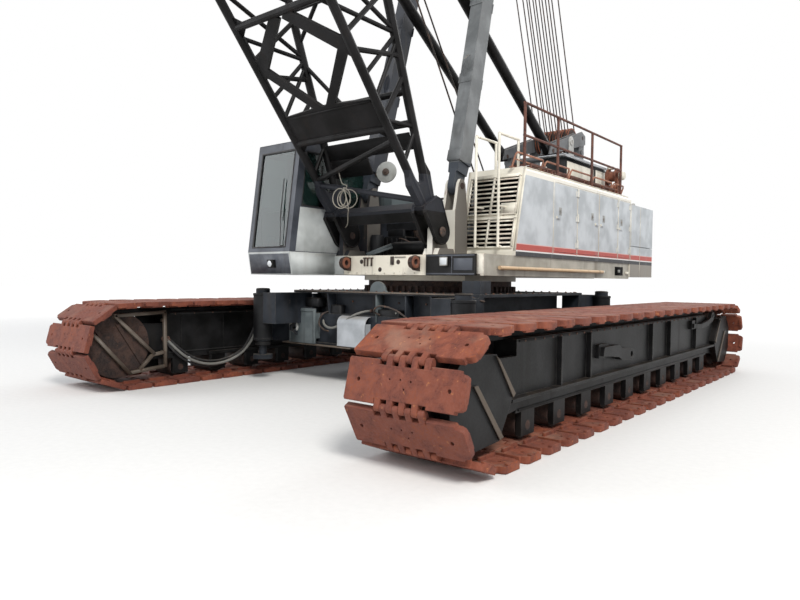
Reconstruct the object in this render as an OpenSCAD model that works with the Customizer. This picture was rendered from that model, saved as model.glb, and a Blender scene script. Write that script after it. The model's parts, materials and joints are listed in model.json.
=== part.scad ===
// Lattice boom crawler crane with a live mast, parked with its boom half raised.
// X points to the machine's left, Y to its rear, Z up. The origin is on the ground on the slewing axis.

/* [Crawlers] */
// Distance between the two tracks' centre planes
gauge = 6000; // [5800:20:6200]
// Width of one track shoe
shoe_w = 1220; // [1120:20:1280]
// Distance between the two tumbler shafts of one track
wheelbase = 8240; // [8000:40:8400]
// Number of shoes in one track
shoe_count = 50; // [48:1:52]
// Height of the whole track
track_h = 1240; // [1200:10:1280]

/* [Upper works] */
// Height of the deck top above the ground
deck_z = 1960; // [1940:10:2000]
// Half width of the deck
deck_x = 1750; // [1700:10:1800]
// Rear end of the counterweight
tail_y = 5120; // [5000:20:5200]
// Height of the machinery house above the deck
house_h = 1230; // [1200:10:1240]
// Width of the cab
cab_w = 960; // [900:10:1000]
// Height of the cab above its floor line
cab_h = 1650; // [1560:10:1700]

/* [Boom and mast] */
// Angle of the boom above level, in degrees
boom_angle = 60; // [58:1:62]
// Length of the boom from its foot pins to its tip shaft
boom_l = 21300; // [20300:100:21800]
// Width and depth of the boom over its chord centres
boom_w = 1720; // [1660:10:1760]
// Length of the live mast
mast_l = 9300; // [9000:50:9500]
// Angle of the mast above level, leaning to the rear, in degrees
mast_angle = 75.5; // [74:0.5:77]

/* [Hidden] */
$fn = 48;

side_x = gauge / 2;
tumbler_y = wheelbase / 2;
axle_z = track_h / 2;
shoe_t = 70;
loop_r = track_h / 2 - shoe_t;
loop_len = 2 * wheelbase + 2 * PI * loop_r;
pitch = loop_len / shoe_count;
lug_w = 0.38 * shoe_w;

frame_x = 300;
frame_y = tumbler_y - 780;
carbody_top = 1420;
ring_r = 1240;
deck_bottom = 1670;
front_y = -1450;

house_x0 = 800;
house_x1 = deck_x + 20;
house_y0 = -650;
house_y1 = 3840;
house_top = deck_z + 60 + house_h;
house_z0 = deck_z + 60;
wall = 40;

cab_x1 = -1000;
cab_x0 = cab_x1 - cab_w;
cab_y0 = -2390;
cab_y1 = -560;
cab_floor = deck_z + 40;
cab_top = cab_floor + cab_h;

foot = [0, -1330, 2280];
foot_x = boom_w / 2;
mast_foot = [0, -820, 2980];
mast_x = 850;
stop_base = [0, 2850, 4120];
stop_x = 500;
stop_u = 5520;
stop_v = boom_w / 2 + 500;
stop_eye = foot + [0, -stop_u * cos(boom_angle) + stop_v * sin(boom_angle),
    stop_u * sin(boom_angle) + stop_v * cos(boom_angle)];
stop_angle = atan2(stop_eye.z - stop_base.z, stop_base.y - stop_eye.y);
stop_len = norm(stop_eye - stop_base);
bail = [0, 4190, 4590];

// Point at arc length s along the inner face of the track, in the plane across the machine
function loop_pt(s, r) =
    let (t = (s % loop_len + loop_len) % loop_len, arc = PI * loop_r)
    t < wheelbase ? [-tumbler_y + t, axle_z - r] :
    t < wheelbase + arc ?
        let (a = (t - wheelbase) / loop_r * 180 / PI) [tumbler_y + r * sin(a), axle_z - r * cos(a)] :
    t < 2 * wheelbase + arc ? [tumbler_y - (t - wheelbase - arc), axle_z + r] :
        let (a = (t - 2 * wheelbase - arc) / loop_r * 180 / PI)
        [-tumbler_y - r * sin(a), axle_z + r * cos(a)];

// A round bar between two points
module tube(a, b, d, fn = 24) {
    v = b - a;
    length = norm(v);
    translate(a) rotate([0, acos(v.z / length), atan2(v.y, v.x)])
        cylinder(h = length, d = d, $fn = fn);
}

// A square bar between two points that have the same x
module chord(a, b, w) {
    v = b - a;
    translate(a) rotate([-atan2(v.y, v.z), 0, 0]) translate([-w / 2, -w / 2, 0])
        cube([w, w, norm(v)]);
}

// A block given by its corners
module block(a, b) {
    translate(a) cube(b - a);
}

// A plate in the plane across the machine, from x0 to x1, with its outline in y and z
module side_plate(x0, x1, outline) {
    translate([x0, 0, 0]) rotate([90, 0, 90]) linear_extrude(x1 - x0) polygon(outline);
}

module cyl_x(x0, x1, y, z, d, fn = 48) {
    translate([x0, y, z]) rotate([0, 90, 0]) cylinder(h = x1 - x0, d = d, $fn = fn);
}

module mirrored_x() {
    children();
    mirror([1, 0, 0]) children();
}

// One track as a single loop. A hinge band carries a plate on each side of every shoe.
module track(cx) {
    band = [for (i = [0:shoe_count - 1])
        each [loop_pt((i + 0.06) * pitch, loop_r + shoe_t), loop_pt((i + 0.94) * pitch, loop_r + shoe_t),
            loop_pt((i + 1) * pitch, loop_r + 0.45 * shoe_t)]];
    inner = [for (i = [0:shoe_count - 1]) loop_pt((i + 1) * pitch, loop_r)];
    color("sienna") {
        translate([cx - lug_w / 2, 0, 0]) rotate([90, 0, 90]) linear_extrude(lug_w)
            difference() {
                polygon(band);
                polygon(inner);
            }
        for (i = [0:shoe_count - 1], side = [-1, 1]) {
            x0 = side < 0 ? cx - shoe_w / 2 : cx + lug_w / 2;
            side_plate(x0, x0 + (shoe_w - lug_w) / 2, [loop_pt((i + 0.06) * pitch, loop_r + shoe_t),
                loop_pt((i + 0.94) * pitch, loop_r + shoe_t), loop_pt((i + 0.94) * pitch, loop_r + 8),
                loop_pt((i + 0.06) * pitch, loop_r + 8)]);
        }
    }
}
module track_left() track(side_x);
module track_right() track(-side_x);

// A plate with a hole, in the plane across the machine
module eye_plate(x0, x1, outline, hole, d) {
    difference() {
        side_plate(x0, x1, outline);
        cyl_x(x0 - 5, x1 + 5, hole.x, hole.y, d, 24);
    }
}

// A long box between the tumblers, with fork plates, outer end guards, ribs, a ledge and two stowed arms
module side_frame(cx) {
    o = sign(cx);
    fork = frame_x - 30;
    module out(x0, x1, outline) {
        side_plate(min(cx + o * x0, cx + o * x1), max(cx + o * x0, cx + o * x1), outline);
    }
    module box(x0, x1, y0, y1, z0, z1) {
        block([min(cx + o * x0, cx + o * x1), y0, z0], [max(cx + o * x0, cx + o * x1), y1, z1]);
    }
    color([0.14, 0.14, 0.15]) {
        box(-frame_x, frame_x, -frame_y, frame_y, 360, 1060);
        box(-60, 60, 400 - frame_y, frame_y - 400, 1059, axle_z + loop_r);
        for (s = [-1, 1], e = [-1, 1])
            difference() {
                side_plate(cx + s * fork - 30, cx + s * fork + 30,
                    [[e * (frame_y - 60), 400], [e * (tumbler_y - 250), 330], [e * (tumbler_y + 170), 330],
                    [e * (tumbler_y + 330), 480], [e * (tumbler_y + 330), 760], [e * (tumbler_y + 170), 910],
                    [e * (tumbler_y - 250), 910], [e * (frame_y - 60), 900]]);
                cyl_x(cx + s * fork - 60, cx + s * fork + 60, e * tumbler_y, axle_z, 201);
            }
        for (s = [-1, 1], i = [0:9])
            eye_plate(cx + s * 270 - 30, cx + s * 270 + 30, [for (p = [[-1, 120], [1, 120], [1, 361], [-1, 361]])
                [roller_y(i) + 130 * p[0], p[1]]], [roller_y(i), 215], 91);
        // end guards
        for (e = [-1, 1]) {
            out(frame_x - 1, frame_x + 90, [[e * (tumbler_y + 230), 1000], [e * (tumbler_y - 260), 970],
                [e * (tumbler_y - 580), 590], [e * (tumbler_y - 330), 200], [e * (tumbler_y + 180), 170],
                [e * (tumbler_y + 430), 400], [e * (tumbler_y + 450), 780]]);
            out(frame_x + 89, frame_x + 112, [[e * (tumbler_y + 120), 735], [e * (tumbler_y + 60), 735],
                [e * (tumbler_y - 370), 230], [e * (tumbler_y - 310), 215]]);
            out(frame_x + 89, frame_x + 112, [[e * (tumbler_y - 230), 960], [e * (tumbler_y - 290), 920],
                [e * (tumbler_y - 575), 590], [e * (tumbler_y - 535), 560]]);
        }
        // ledge and ribs of the outer side, lower rail of the inner side
        box(frame_x - 1, frame_x + 90, 560 - tumbler_y, tumbler_y - 560, 500, 530);
        box(-frame_x - 60, 1 - frame_x, 1500 - tumbler_y, tumbler_y - 1500, 380, 420);
        for (y = [-2500, -1750, 350, 1150, 2500]) box(frame_x - 1, frame_x + 60, y, y + 30, 529, 1040);
        // arm with a fork bracket, and a bent arm, stowed along the outer side
        box(frame_x - 1, frame_x + 50, -1500, -1230, 720, 880);
        difference() {
            out(frame_x + 20, frame_x + 100, [[-1480, 750], [-1450, 850], [-1000, 850], [-900, 800], [-560, 775],
                [-480, 740], [-480, 670], [-560, 630], [-900, 660], [-1000, 700]]);
            out(frame_x + 10, frame_x + 110, [for (i = [0:15]) [-570 + 38 * cos(i * 22.5), 705 + 38 * sin(i * 22.5)]]);
        }
        box(frame_x - 1, frame_x + 50, 2280, 2460, 860, 1000);
        difference() {
            out(frame_x + 20, frame_x + 80, [[2300, 880], [2700, 850], [3150, 880], [3420, 940], [3520, 980],
                [3560, 1040], [3500, 1100], [3400, 1090], [3330, 1010], [3100, 960], [2700, 925], [2300, 950]]);
            out(frame_x + 10, frame_x + 90, [for (i = [0:15]) [3450 + 34 * cos(i * 22.5), 1035 + 34 * sin(i * 22.5)]]);
        }
    }
}
module side_frame_left() side_frame(side_x);
module side_frame_right() side_frame(-side_x);

function roller_y(i) = -frame_y + 240 + i * (2 * frame_y - 480) / 9;

// Front idler with its inner cover disc, rear drive tumbler and ten rollers of one track
module wheels(cx) {
    o = sign(cx);
    color([0.3, 0.18, 0.13]) {
        for (e = [-1, 1]) {
            cyl_x(cx - 200, cx + 200, e * tumbler_y, axle_z, 2 * loop_r - 90);
            cyl_x(cx - 299, cx + 299, e * tumbler_y, axle_z, 200);
        }
        cyl_x(min(cx, cx - o * 340), max(cx, cx - o * 340), -tumbler_y, axle_z, 180);
        cyl_x(min(cx - o * 302, cx - o * 340), max(cx - o * 302, cx - o * 340), -tumbler_y, axle_z, 940);
        for (k = [-1, 1]) side_plate(min(cx - o * 339, cx - o * 362), max(cx - o * 339, cx - o * 362),
            [for (p = [[-30, -1], [30, -1], [30, 1], [-30, 1]])
                [-tumbler_y + k * 170 + p[0] - p[1] * 190, axle_z + p[1] * 300]]);
        for (i = [0:9]) {
            cyl_x(cx - 230, cx + 230, roller_y(i), 215, 2 * (215 + loop_r - axle_z), 32);
            cyl_x(cx - 300, cx + 300, roller_y(i), 215, 90, 32);
        }
    }
}
module wheels_left() wheels(side_x);
module wheels_right() wheels(-side_x);

// Drive housings on the inner side of both rear tumblers
module final_drives() {
    color([0.16, 0.16, 0.17]) mirrored_x() {
        cyl_x(side_x - frame_x - 260, side_x - frame_x, tumbler_y, axle_z, 620);
        cyl_x(side_x - frame_x - 480, side_x - frame_x - 259, tumbler_y, axle_z, 300);
    }
}

// Box between the tracks with its flanges, two beams that run into the side frames, and the jack arms
module carbody() {
    color([0.17, 0.17, 0.18]) {
        block([-1420, -1420, 600], [1420, 1420, carbody_top - 1]);
        block([-1780, -1600, carbody_top - 40], [1780, 1600, carbody_top]);
        block([-1700, -1640, 570], [1700, 1640, 601]);
        for (s = [-1, 1])
            block([-(side_x - frame_x), s * 1250 - 330, 560], [side_x - frame_x, s * 1250 + 330, 1060]);
        for (s = [-1, 1], x = [-1000, 0, 1000])
            side_plate(x - 15, x + 15, [[s * 1400, 1050], [s * 1560, 1050], [s * 1600, carbody_top - 39],
                [s * 1400, carbody_top - 39]]);
        mirrored_x() for (s = [-1, 1]) {
            block([1480, min(s * 1480, s * 2240), 900], [1780, max(s * 1480, s * 2240), 1379]);
            block([1300, min(s * 1500, s * 1660), 590], [1720, max(s * 1500, s * 1660), 1150]);
            eye_plate(1560, 1600, [[s * 1650, 640], [s * 1650, 1000], [s * 1760, 900], [s * 1850, 860],
                [s * 1850, 780], [s * 1760, 740]], [s * 1790, 820], 60);
        }
        block([1450, -1500, carbody_top - 1], [1740, -1250, 1600]);
        block([-500, 1250, carbody_top - 1], [-150, 1560, 1580]);
    }
}

// Fixed ring of the slewing bearing with its gear teeth
module slew_ring() {
    color([0.3, 0.24, 0.18]) difference() {
        union() {
            translate([0, 0, carbody_top + 0.3]) cylinder(h = 90, r = ring_r - 40, $fn = 96);
            translate([0, 0, carbody_top + 90]) cylinder(h = 80.5, r = ring_r - 70, $fn = 96);
            for (i = [0:71]) rotate([0, 0, i * 5])
                translate([ring_r - 60, -20, carbody_top + 0.5]) cube([60, 40, 89]);
        }
        translate([0, 0, carbody_top - 1]) cylinder(h = 200, r = ring_r - 260, $fn = 96);
    }
}

// Four upright jack cylinders with their feet
module jacks() {
    color([0.1, 0.1, 0.11])
        for (x = [-1, 1], y = [-1, 1]) translate([x * 1900, y * 2140, 0]) {
            translate([0, 0, 560]) cylinder(h = 860, d = 220);
            translate([0, 0, 400]) cylinder(h = 160, d = 120);
            translate([0, 0, 330]) cylinder(h = 70, d = 300);
            block([min(0, -x * 120), -60, 950], [max(0, -x * 120), 60, 1300]);
        }
}

// Turntable, girders, deck plate, front cross panel, boom feet, mast pylons and the pipe along the left edge
module deck_frame() {
    color("gainsboro") difference() {
        union() {
            translate([0, 0, carbody_top + 171]) cylinder(h = 100, r = ring_r, $fn = 96);
            block([-1060, front_y, deck_bottom], [1060, house_y1, deck_z]);
            block([-deck_x, front_y + 1, deck_z - 60], [deck_x, house_y1 - 1, deck_z]);
            mirrored_x() {
                block([deck_x - 60, front_y + 2, deck_bottom], [deck_x, house_y1 - 2, deck_z - 59]);
                for (y = [-900, 300, 1500, 2700])
                    block([1059, y, deck_bottom + 30], [deck_x - 59, y + 60, deck_z - 59]);
                // pylon under the mast foot
                block([mast_x - 120, mast_foot.y - 170, deck_z - 1], [mast_x + 120, mast_foot.y + 150, 2620]);
            }
            // lug and seat under each boom foot, and the two pointed plates of each mast foot
            mirrored_x() {
                side_plate(foot_x - 46, foot_x + 46,
                    [[foot.y - 118, deck_z - 20], [foot.y + 330, deck_z - 20], [foot.y + 120, foot.z + 20],
                    [foot.y + 70, foot.z + 100], [foot.y - 70, foot.z + 100], [foot.y - 110, foot.z + 30]]);
                side_plate(foot_x - 130, foot_x + 130, [[foot.y - 117, deck_z - 19],
                    [foot.y + 331, deck_z - 19], [foot.y + 280, deck_z + 90], [foot.y - 60, deck_z + 90]]);
                for (s = [-1, 1]) side_plate(mast_x + s * 95 - 24, mast_x + s * 95 + 24,
                    [[mast_foot.y - 169, 2600], [mast_foot.y + 149, 2600], [mast_foot.y + 85, mast_foot.z + 30],
                    [mast_foot.y + 40, mast_foot.z + 96], [mast_foot.y - 40, mast_foot.z + 96],
                    [mast_foot.y - 85, mast_foot.z + 30]]);
            }
            // pipe with its brackets
            tube([deck_x + 45, -1120, 1780], [deck_x + 45, 2430, 1780], 56, 12);
            for (y = [-1000, 100, 1200, 2300]) block([deck_x - 1, y, 1750], [deck_x + 45, y + 60, 1810]);
        }
        mirrored_x() {
            cyl_x(foot_x - 200, foot_x + 200, foot.y, foot.z, 111);
            cyl_x(mast_x - 250, mast_x + 250, mast_foot.y, mast_foot.z, 91);
        }
        translate([0, 0, carbody_top]) cylinder(h = 400, r = 400);
    }
}

// Bearing plates of the three drums
module drum_stands() {
    color("dimgray") for (d = [[350, 2560, 150], [1650, 2560, 150], [2450, 2450, 120]], s = [-1, 1])
        difference() {
            side_plate(s * 560 - 30, s * 560 + 30, [[d[0] - 300, deck_z], [d[0] + 300, deck_z],
                [d[0] + d[2], d[1] + 60], [d[0] + 60, d[1] + 150], [d[0] - 60, d[1] + 150],
                [d[0] - d[2], d[1] + 60]]);
            cyl_x(s * 560 - 40, s * 560 + 40, d[0], d[1], 121);
        }
}

// Pins of the boom, the mast and the backstops, and the two rusty lugs of the front panel
module pins_and_lugs() {
    color("sienna") mirrored_x() {
        cyl_x(foot_x - 135, foot_x + 135, foot.y, foot.z, 110);
        cyl_x(mast_x - 130, mast_x + 130, mast_foot.y, mast_foot.z, 90);
        cyl_x(stop_x - 105, stop_x + 105, stop_base.y, stop_base.z, 80, 32);
        eye_plate(640, 700, [[front_y, 1730], [front_y, 1930], [front_y - 90, 1950], [front_y - 180, 1910],
            [front_y - 210, 1850], [front_y - 180, 1790], [front_y - 90, 1740]], [front_y - 110, 1850], 80);
    }
}

// A rope drum with two flanges on a shaft
module drum(y, z, d, flange_d) {
    cyl_x(-440, 440, y, z, d);
    for (s = [-1, 1]) cyl_x(s * 460 - 20, s * 460 + 20, y, z, flange_d);
    cyl_x(-589, 589, y, z, 120);
}
module front_drum() color([0.16, 0.16, 0.17]) drum(350, 2560, 640, 960);
module rear_drum() color([0.16, 0.16, 0.17]) drum(1650, 2560, 640, 960);
module boom_hoist_drum() color([0.16, 0.16, 0.17]) drum(2450, 2450, 420, 600);

// Door openings in the side of the house: front edge and rear edge
doors = [[560, 1380], [1400, 2280], [2300, 3180], [3200, 3800]];
// Hinge line of each door, and the side on which the door lies from it; heights of the knuckles
hinges = [[doors[0][1] - 6, -1], [doors[1][0] + 6, 1], [doors[2][1] - 6, -1], [doors[3][1] - 6, -1]];
hinge_z = [130, 560, 970];
hinge_x = house_x1 + 12;

// Shell of the machinery house with a raked front, open behind its doors and its grille
module house_left() {
    rake = 280;
    color("gainsboro") difference() {
        side_plate(house_x0, house_x1, [[house_y0, house_z0 - 60], [house_y1, house_z0 - 60],
            [house_y1, house_top], [house_y0 + rake, house_top], [house_y0, house_z0]]);
        side_plate(house_x0 + wall, house_x1 - wall, [[house_y0 + wall, house_z0],
            [house_y1 - wall, house_z0], [house_y1 - wall, house_top - wall],
            [house_y0 + rake + wall, house_top - wall]]);
        // sloping edge of the roof
        translate([0, house_y1 + 1, 0]) rotate([90, 0, 0]) linear_extrude(house_y1 - house_y0 + 2)
            polygon([[house_x1 - 70, house_top + 1], [house_x1 + 1, house_top + 1], [house_x1 + 1, house_top - 60],
                [house_x1, house_top - 60], [house_x1 - 70, house_top]]);
        for (d = doors) block([house_x1 - wall - 1, d[0], house_z0 + 40], [house_x1 + 1, d[1], house_top - 110]);
        for (z = [[250, 620], [700, 1130]]) block([house_x0 + 110, house_y0 - 10, house_z0 + z[0]],
            [house_x1 - 110, house_y0 + rake + 60, house_z0 + z[1]]);
    }
    color("gainsboro") for (h = hinges, z = hinge_z) {
        translate([hinge_x, h[0], house_z0 + z + 90.5]) cylinder(h = 40, d = 20, $fn = 24);
        block([house_x1 - 2, min(h[0], h[0] - h[1] * 22), house_z0 + z + 90.5],
            [hinge_x, max(h[0], h[0] - h[1] * 22), house_z0 + z + 130.5]);
    }
}

// Two banks of slats that fill the openings in the raked front
module house_grille() {
    rake = 280;
    color("whitesmoke") for (bank = [[250, 620, 6], [700, 1130, 7]]) {
        for (x = [house_x0 + 110, (house_x0 + house_x1) / 2 - 20, house_x1 - 150])
            side_plate(x, x + 40, [for (p = [[0, 0], [0, 1], [1, 1], [1, 0]])
                let (z = p[1] == 0 ? bank[0] + 1 : bank[1] - 1)
                [house_y0 + rake * z / house_h + 2 + 36 * p[0], house_z0 + z]]);
        for (i = [0:bank[2] - 1]) {
            z = bank[0] + 20 + i * (bank[1] - bank[0] - 40) / (bank[2] - 1);
            y = house_y0 + rake * z / house_h;
            side_plate(house_x0 + 115, house_x1 - 115, [[y + 8, house_z0 + z - 14],
                [y + 34, house_z0 + z + 6], [y + 34, house_z0 + z + 14], [y + 8, house_z0 + z - 6]]);
        }
    }
}

// One hinged side door with its handle and three hinge knuckles
module side_door(i) {
    d = doors[i];
    side = hinges[i][1];
    hinge_y = hinges[i][0];
    handle_y = side > 0 ? d[1] - 110 : d[0] + 110;
    color([0.72, 0.75, 0.79]) {
        block([house_x1 - wall + 1, d[0] + 6, house_z0 + 46], [house_x1 - 1, d[1] - 6, house_top - 116]);
        block([house_x1 - 2, handle_y - 60, house_z0 + 560], [house_x1 + 22, handle_y + 60, house_z0 + 600]);
        for (z = hinge_z) {
            translate([hinge_x, hinge_y, house_z0 + z]) cylinder(h = 90, d = 20, $fn = 24);
            block([house_x1 - 2, min(hinge_y, hinge_y + side * 40), house_z0 + z],
                [hinge_x, max(hinge_y, hinge_y + side * 40), house_z0 + z + 90]);
        }
    }
}
module side_door_1() side_door(0);
module side_door_2() side_door(1);
module side_door_3() side_door(2);
module side_door_4() side_door(3);

// The engine as one block inside the house
module engine_block() {
    color("dimgray") block([house_x0 + 120, 300, house_z0], [house_x1 - 160, 2600, house_z0 + 850]);
}

// Tanks on the machine's right, behind the cab
module tank_house_right() {
    color("gainsboro") block([-house_x1, -300, deck_z], [-house_x0, house_y1, house_top - 200]);
}

module counterweight() {
    color("silver") {
        block([-house_x1, house_y1, deck_z - 250], [house_x1, tail_y, deck_z + 340]);
        block([-house_x1, house_y1, deck_z + 352], [house_x1, tail_y, deck_z + 1150]);
        block([-700, house_y1 + 100, deck_z + 339], [700, tail_y - 200, deck_z + 353]);
    }
}

// Posts, two rails and low tread frames along the left edge of the roof
module roof_rail() {
    color("saddlebrown") {
        posts = [-230, 860, 2200, 3560];
        for (y = posts) translate([1655, y, house_top]) cylinder(h = 950, d = 45, $fn = 12);
        for (h = [480, 950]) tube([1655, posts[0] - 22, house_top + h], [1655, posts[3] + 22, house_top + h], 40, 8);
        for (i = [0:4]) {
            y = 40 + i * 700;
            for (x = [1300, 1590]) {
                block([x, y, house_top], [x + 30, y + 30, house_top + 90]);
                block([x, y + 530, house_top], [x + 30, y + 560, house_top + 90]);
                block([x, y, house_top + 89], [x + 30, y + 560, house_top + 119]);
            }
            for (k = [0:3]) block([1329, y + k * 176 + 1, house_top + 92], [1591, y + k * 176 + 30, house_top + 117]);
        }
    }
}

// Two inverted U rails on the raked front of the house
module grab_rails() {
    color("whitesmoke") for (x = [1140, 1520]) {
        translate([x, house_y0 - 70, house_z0 + 60]) cylinder(h = house_h + 380, d = 40, $fn = 16);
        tube([x, house_y0 - 70, house_z0 + house_h + 440], [x, house_y0 + 500, house_z0 + house_h + 440], 40, 16);
        translate([x, house_y0 + 480, house_top]) cylinder(h = 440, d = 40, $fn = 16);
        for (z = [80, 650]) tube([x, house_y0 - 70, house_z0 + z],
            [x, house_y0 + 280 * z / house_h - 6, house_z0 + z], 30, 16);
    }
}

// Box, pipe and small tank on the roof
module roof_box() {
    color("whitesmoke") {
        block([860, 1500, house_top], [1240, 3000, house_top + 220]);
        cyl_x(830, 1240, 1300, house_top + 250, 60, 12);
        block([900, 1270, house_top], [940, 1330, house_top + 250]);
        block([1180, 1270, house_top], [1220, 1330, house_top + 250]);
        translate([1050, 3350, house_top]) cylinder(h = 260, d = 300, $fn = 32);
        translate([1050, 3350, house_top + 259]) cylinder(h = 60, d = 120, $fn = 24);
    }
}

// Front and rear edge of the sliding cab door
door_y0 = cab_y1 - 970;
door_y1 = cab_y1 - 230;
door_top = cab_top - 90;

// Walls, roof and frame of the cab as one shell with its windows cut, and the two rails of its door
module cab_shell() {
    rake = 220;
    t = 50;
    color([0.3, 0.31, 0.33]) {
        difference() {
            side_plate(cab_x0, cab_x1, [[cab_y0, cab_floor], [cab_y1, cab_floor], [cab_y1, cab_top],
                [cab_y0 + rake, cab_top]]);
            side_plate(cab_x0 + t, cab_x1 - t, [[cab_y0 + t, cab_floor + t], [cab_y1 - t, cab_floor + t],
                [cab_y1 - t, cab_top - t], [cab_y0 + rake + t - 10, cab_top - t]]);
            // windscreen
            block([cab_x0 + 90, cab_y0 - 10, cab_floor + 60], [cab_x1 - 90, cab_y0 + rake + 80, cab_top - 110]);
            // inner side window
            side_plate(cab_x1 - t - 1, cab_x1 + 1, [[cab_y0 + 230, cab_floor + 690], [cab_y1 - 150, cab_floor + 690],
                [cab_y1 - 150, cab_top - 130], [cab_y0 + 330, cab_top - 130]]);
            // outer side window, in front of the door
            side_plate(cab_x0 - 1, cab_x0 + t + 1, [[cab_y0 + 230, cab_floor + 700], [door_y0 - 60, cab_floor + 700],
                [door_y0 - 60, cab_top - 130], [cab_y0 + 330, cab_top - 130]]);
            // rear window
            block([cab_x0 + 120, cab_y1 - t - 1, cab_floor + 850], [cab_x1 - 120, cab_y1 + 1, cab_top - 130]);
            // doorway
            block([cab_x0 - 1, door_y0 + 20, cab_floor + 50], [cab_x0 + t + 1, door_y1 - 20, door_top - 20]);
        }
        for (z = [cab_floor + 1, door_top + 0.5])
            block([cab_x0 - 52, door_y0 - 20, z], [cab_x0 + 1, door_y1 + 720, z + 28.5]);
    }
}

module cab_glass() {
    rake = 220;
    color([0.35, 0.45, 0.45, 0.4]) {
        side_plate(cab_x0 + 90, cab_x1 - 90, [for (p = [[0, 0], [1, 0], [1, 1], [0, 1]])
            let (z = p[1] == 0 ? 60 : cab_h - 110)
            [cab_y0 + rake * z / cab_h + 16 + 8 * p[0], cab_floor + z]]);
        side_plate(cab_x1 - 30, cab_x1 - 22, [[cab_y0 + 230, cab_floor + 690], [cab_y1 - 150, cab_floor + 690],
            [cab_y1 - 150, cab_top - 130], [cab_y0 + 330, cab_top - 130]]);
        side_plate(cab_x0 + 22, cab_x0 + 30, [[cab_y0 + 230, cab_floor + 700], [door_y0 - 60, cab_floor + 700],
            [door_y0 - 60, cab_top - 130], [cab_y0 + 330, cab_top - 130]]);
        block([cab_x0 + 120, cab_y1 - 30, cab_floor + 850], [cab_x1 - 120, cab_y1 - 22, cab_top - 130]);
    }
}

// Sliding door between its two rails
module cab_door() {
    color([0.3, 0.31, 0.33]) difference() {
        block([cab_x0 - 46, door_y0, cab_floor + 30], [cab_x0 - 6, door_y1, door_top]);
        block([cab_x0 - 60, door_y0 + 80, cab_floor + 700], [cab_x0, door_y1 - 80, door_top - 80]);
    }
}
module cab_door_glass() {
    color([0.35, 0.45, 0.45, 0.4])
        block([cab_x0 - 30, door_y0 + 80, cab_floor + 700], [cab_x0 - 22, door_y1 - 80, door_top - 80]);
}

// Skirt that carries the cab on the deck, reaching forward under its floor
module cab_base() {
    color([0.22, 0.23, 0.25]) {
        block([cab_x0, front_y + 60, deck_z], [cab_x1, cab_y1, cab_floor]);
        side_plate(cab_x0, cab_x1, [[cab_y0 + 60, deck_bottom - 10], [front_y - 1, deck_bottom - 10],
            [front_y - 1, cab_floor], [cab_y0, cab_floor]]);
        block([cab_x0, front_y - 2, deck_z], [cab_x1, front_y + 61, cab_floor]);
    }
}

module cab_seat() {
    cx = (cab_x0 + cab_x1) / 2;
    color([0.12, 0.12, 0.13]) {
        block([cx - 90, -1250, cab_floor + 50], [cx + 90, -1000, cab_floor + 350]);
        block([cx - 230, -1380, cab_floor + 350], [cx + 230, -900, cab_floor + 450]);
        side_plate(cx - 220, cx + 220, [[-980, cab_floor + 449], [-880, cab_floor + 449],
            [-760, cab_floor + 1050], [-860, cab_floor + 1050]]);
    }
}

// Two work lamps, one under the cab and one in the dark box at the left of the front
module lamps() {
    color([0.2, 0.2, 0.21]) {
        block([830, front_y - 40, deck_bottom], [1640, front_y, deck_z]);
        translate([1100, front_y - 90, deck_z - 160]) cube([130, 50, 120]);
        side_plate(cab_x0 + 500, cab_x0 + 630, [for (p = [[-60, -200], [0, -200], [0, -80], [-60, -80]])
            [cab_y0 - 0.3 + p[0] + 60 * (cab_floor - deck_z - p[1]) / (cab_floor - deck_bottom + 10), deck_z + p[1]]]);
    }
}

// Frame behind the drums that carries the backstops and the lower sheaves of the boom hoist
module gantry() {
    color("silver") difference() {
        union() {
            for (x = [-stop_x, stop_x]) {
                side_plate(x - 100, x - 70, [[stop_base.y - 150, stop_base.z - 90], [stop_base.y - 90, stop_base.z + 110],
                    [bail.y - 40, bail.z + 130], [bail.y + 140, bail.z + 60], [bail.y + 140, bail.z - 120]]);
                side_plate(x + 70, x + 100, [[stop_base.y - 150, stop_base.z - 90], [stop_base.y - 90, stop_base.z + 110],
                    [bail.y - 40, bail.z + 130], [bail.y + 140, bail.z + 60], [bail.y + 140, bail.z - 120]]);
                side_plate(x - 71, x + 71, [[3000, deck_z], [3180, deck_z], [3200, stop_base.z + 130],
                    [3050, stop_base.z + 90]]);
                side_plate(x - 71, x + 71, [[bail.y - 120, deck_z + 1150], [bail.y + 100, deck_z + 1150],
                    [bail.y + 140, bail.z - 120], [bail.y - 100, bail.z - 150]]);
            }
            cyl_x(-stop_x - 100, stop_x + 100, 3120, stop_base.z - 80, 120, 32);
            cyl_x(-stop_x - 100, stop_x + 100, bail.y + 20, bail.z - 300, 120, 32);
        }
        cyl_x(-stop_x - 101, stop_x + 101, stop_base.y, stop_base.z, 81);
        cyl_x(-stop_x - 101, stop_x + 101, bail.y, bail.z, 81);
    }
}

// Rusty sheaves on one shaft at the top of the gantry
module bail_sheaves() {
    color("sienna") {
        cyl_x(-stop_x - 100, stop_x + 100, bail.y, bail.z, 80, 32);
        for (i = [0:5]) cyl_x(-375 + i * 135, -325 + i * 135 + 25, bail.y, bail.z, 420);
    }
}

// Places the boom's own upright frame: z runs along the boom, y to its rear face
module on_boom() {
    translate([foot.x, foot.y, foot.z]) rotate([90 - boom_angle, 0, 0]) children();
}

taper = 9.4;
butt_knee = boom_w / 2 / tan(taper);
butt_l = 9140;
top_knee = boom_l - 5200;
tip_w = 900;
chord_w = 120;

// Half width across and half depth of the boom at a height z along it
function half_x(z) = z < top_knee ? boom_w / 2 :
    boom_w / 2 - (boom_w - tip_w) / 2 * (z - top_knee) / (boom_l - 400 - top_knee);
function half_y(z) = z < butt_knee ? z * tan(taper) : half_x(z);
// The tip shaft sits in front of the boom, so that the falls hang clear of it
tip_y = -700;
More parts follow.
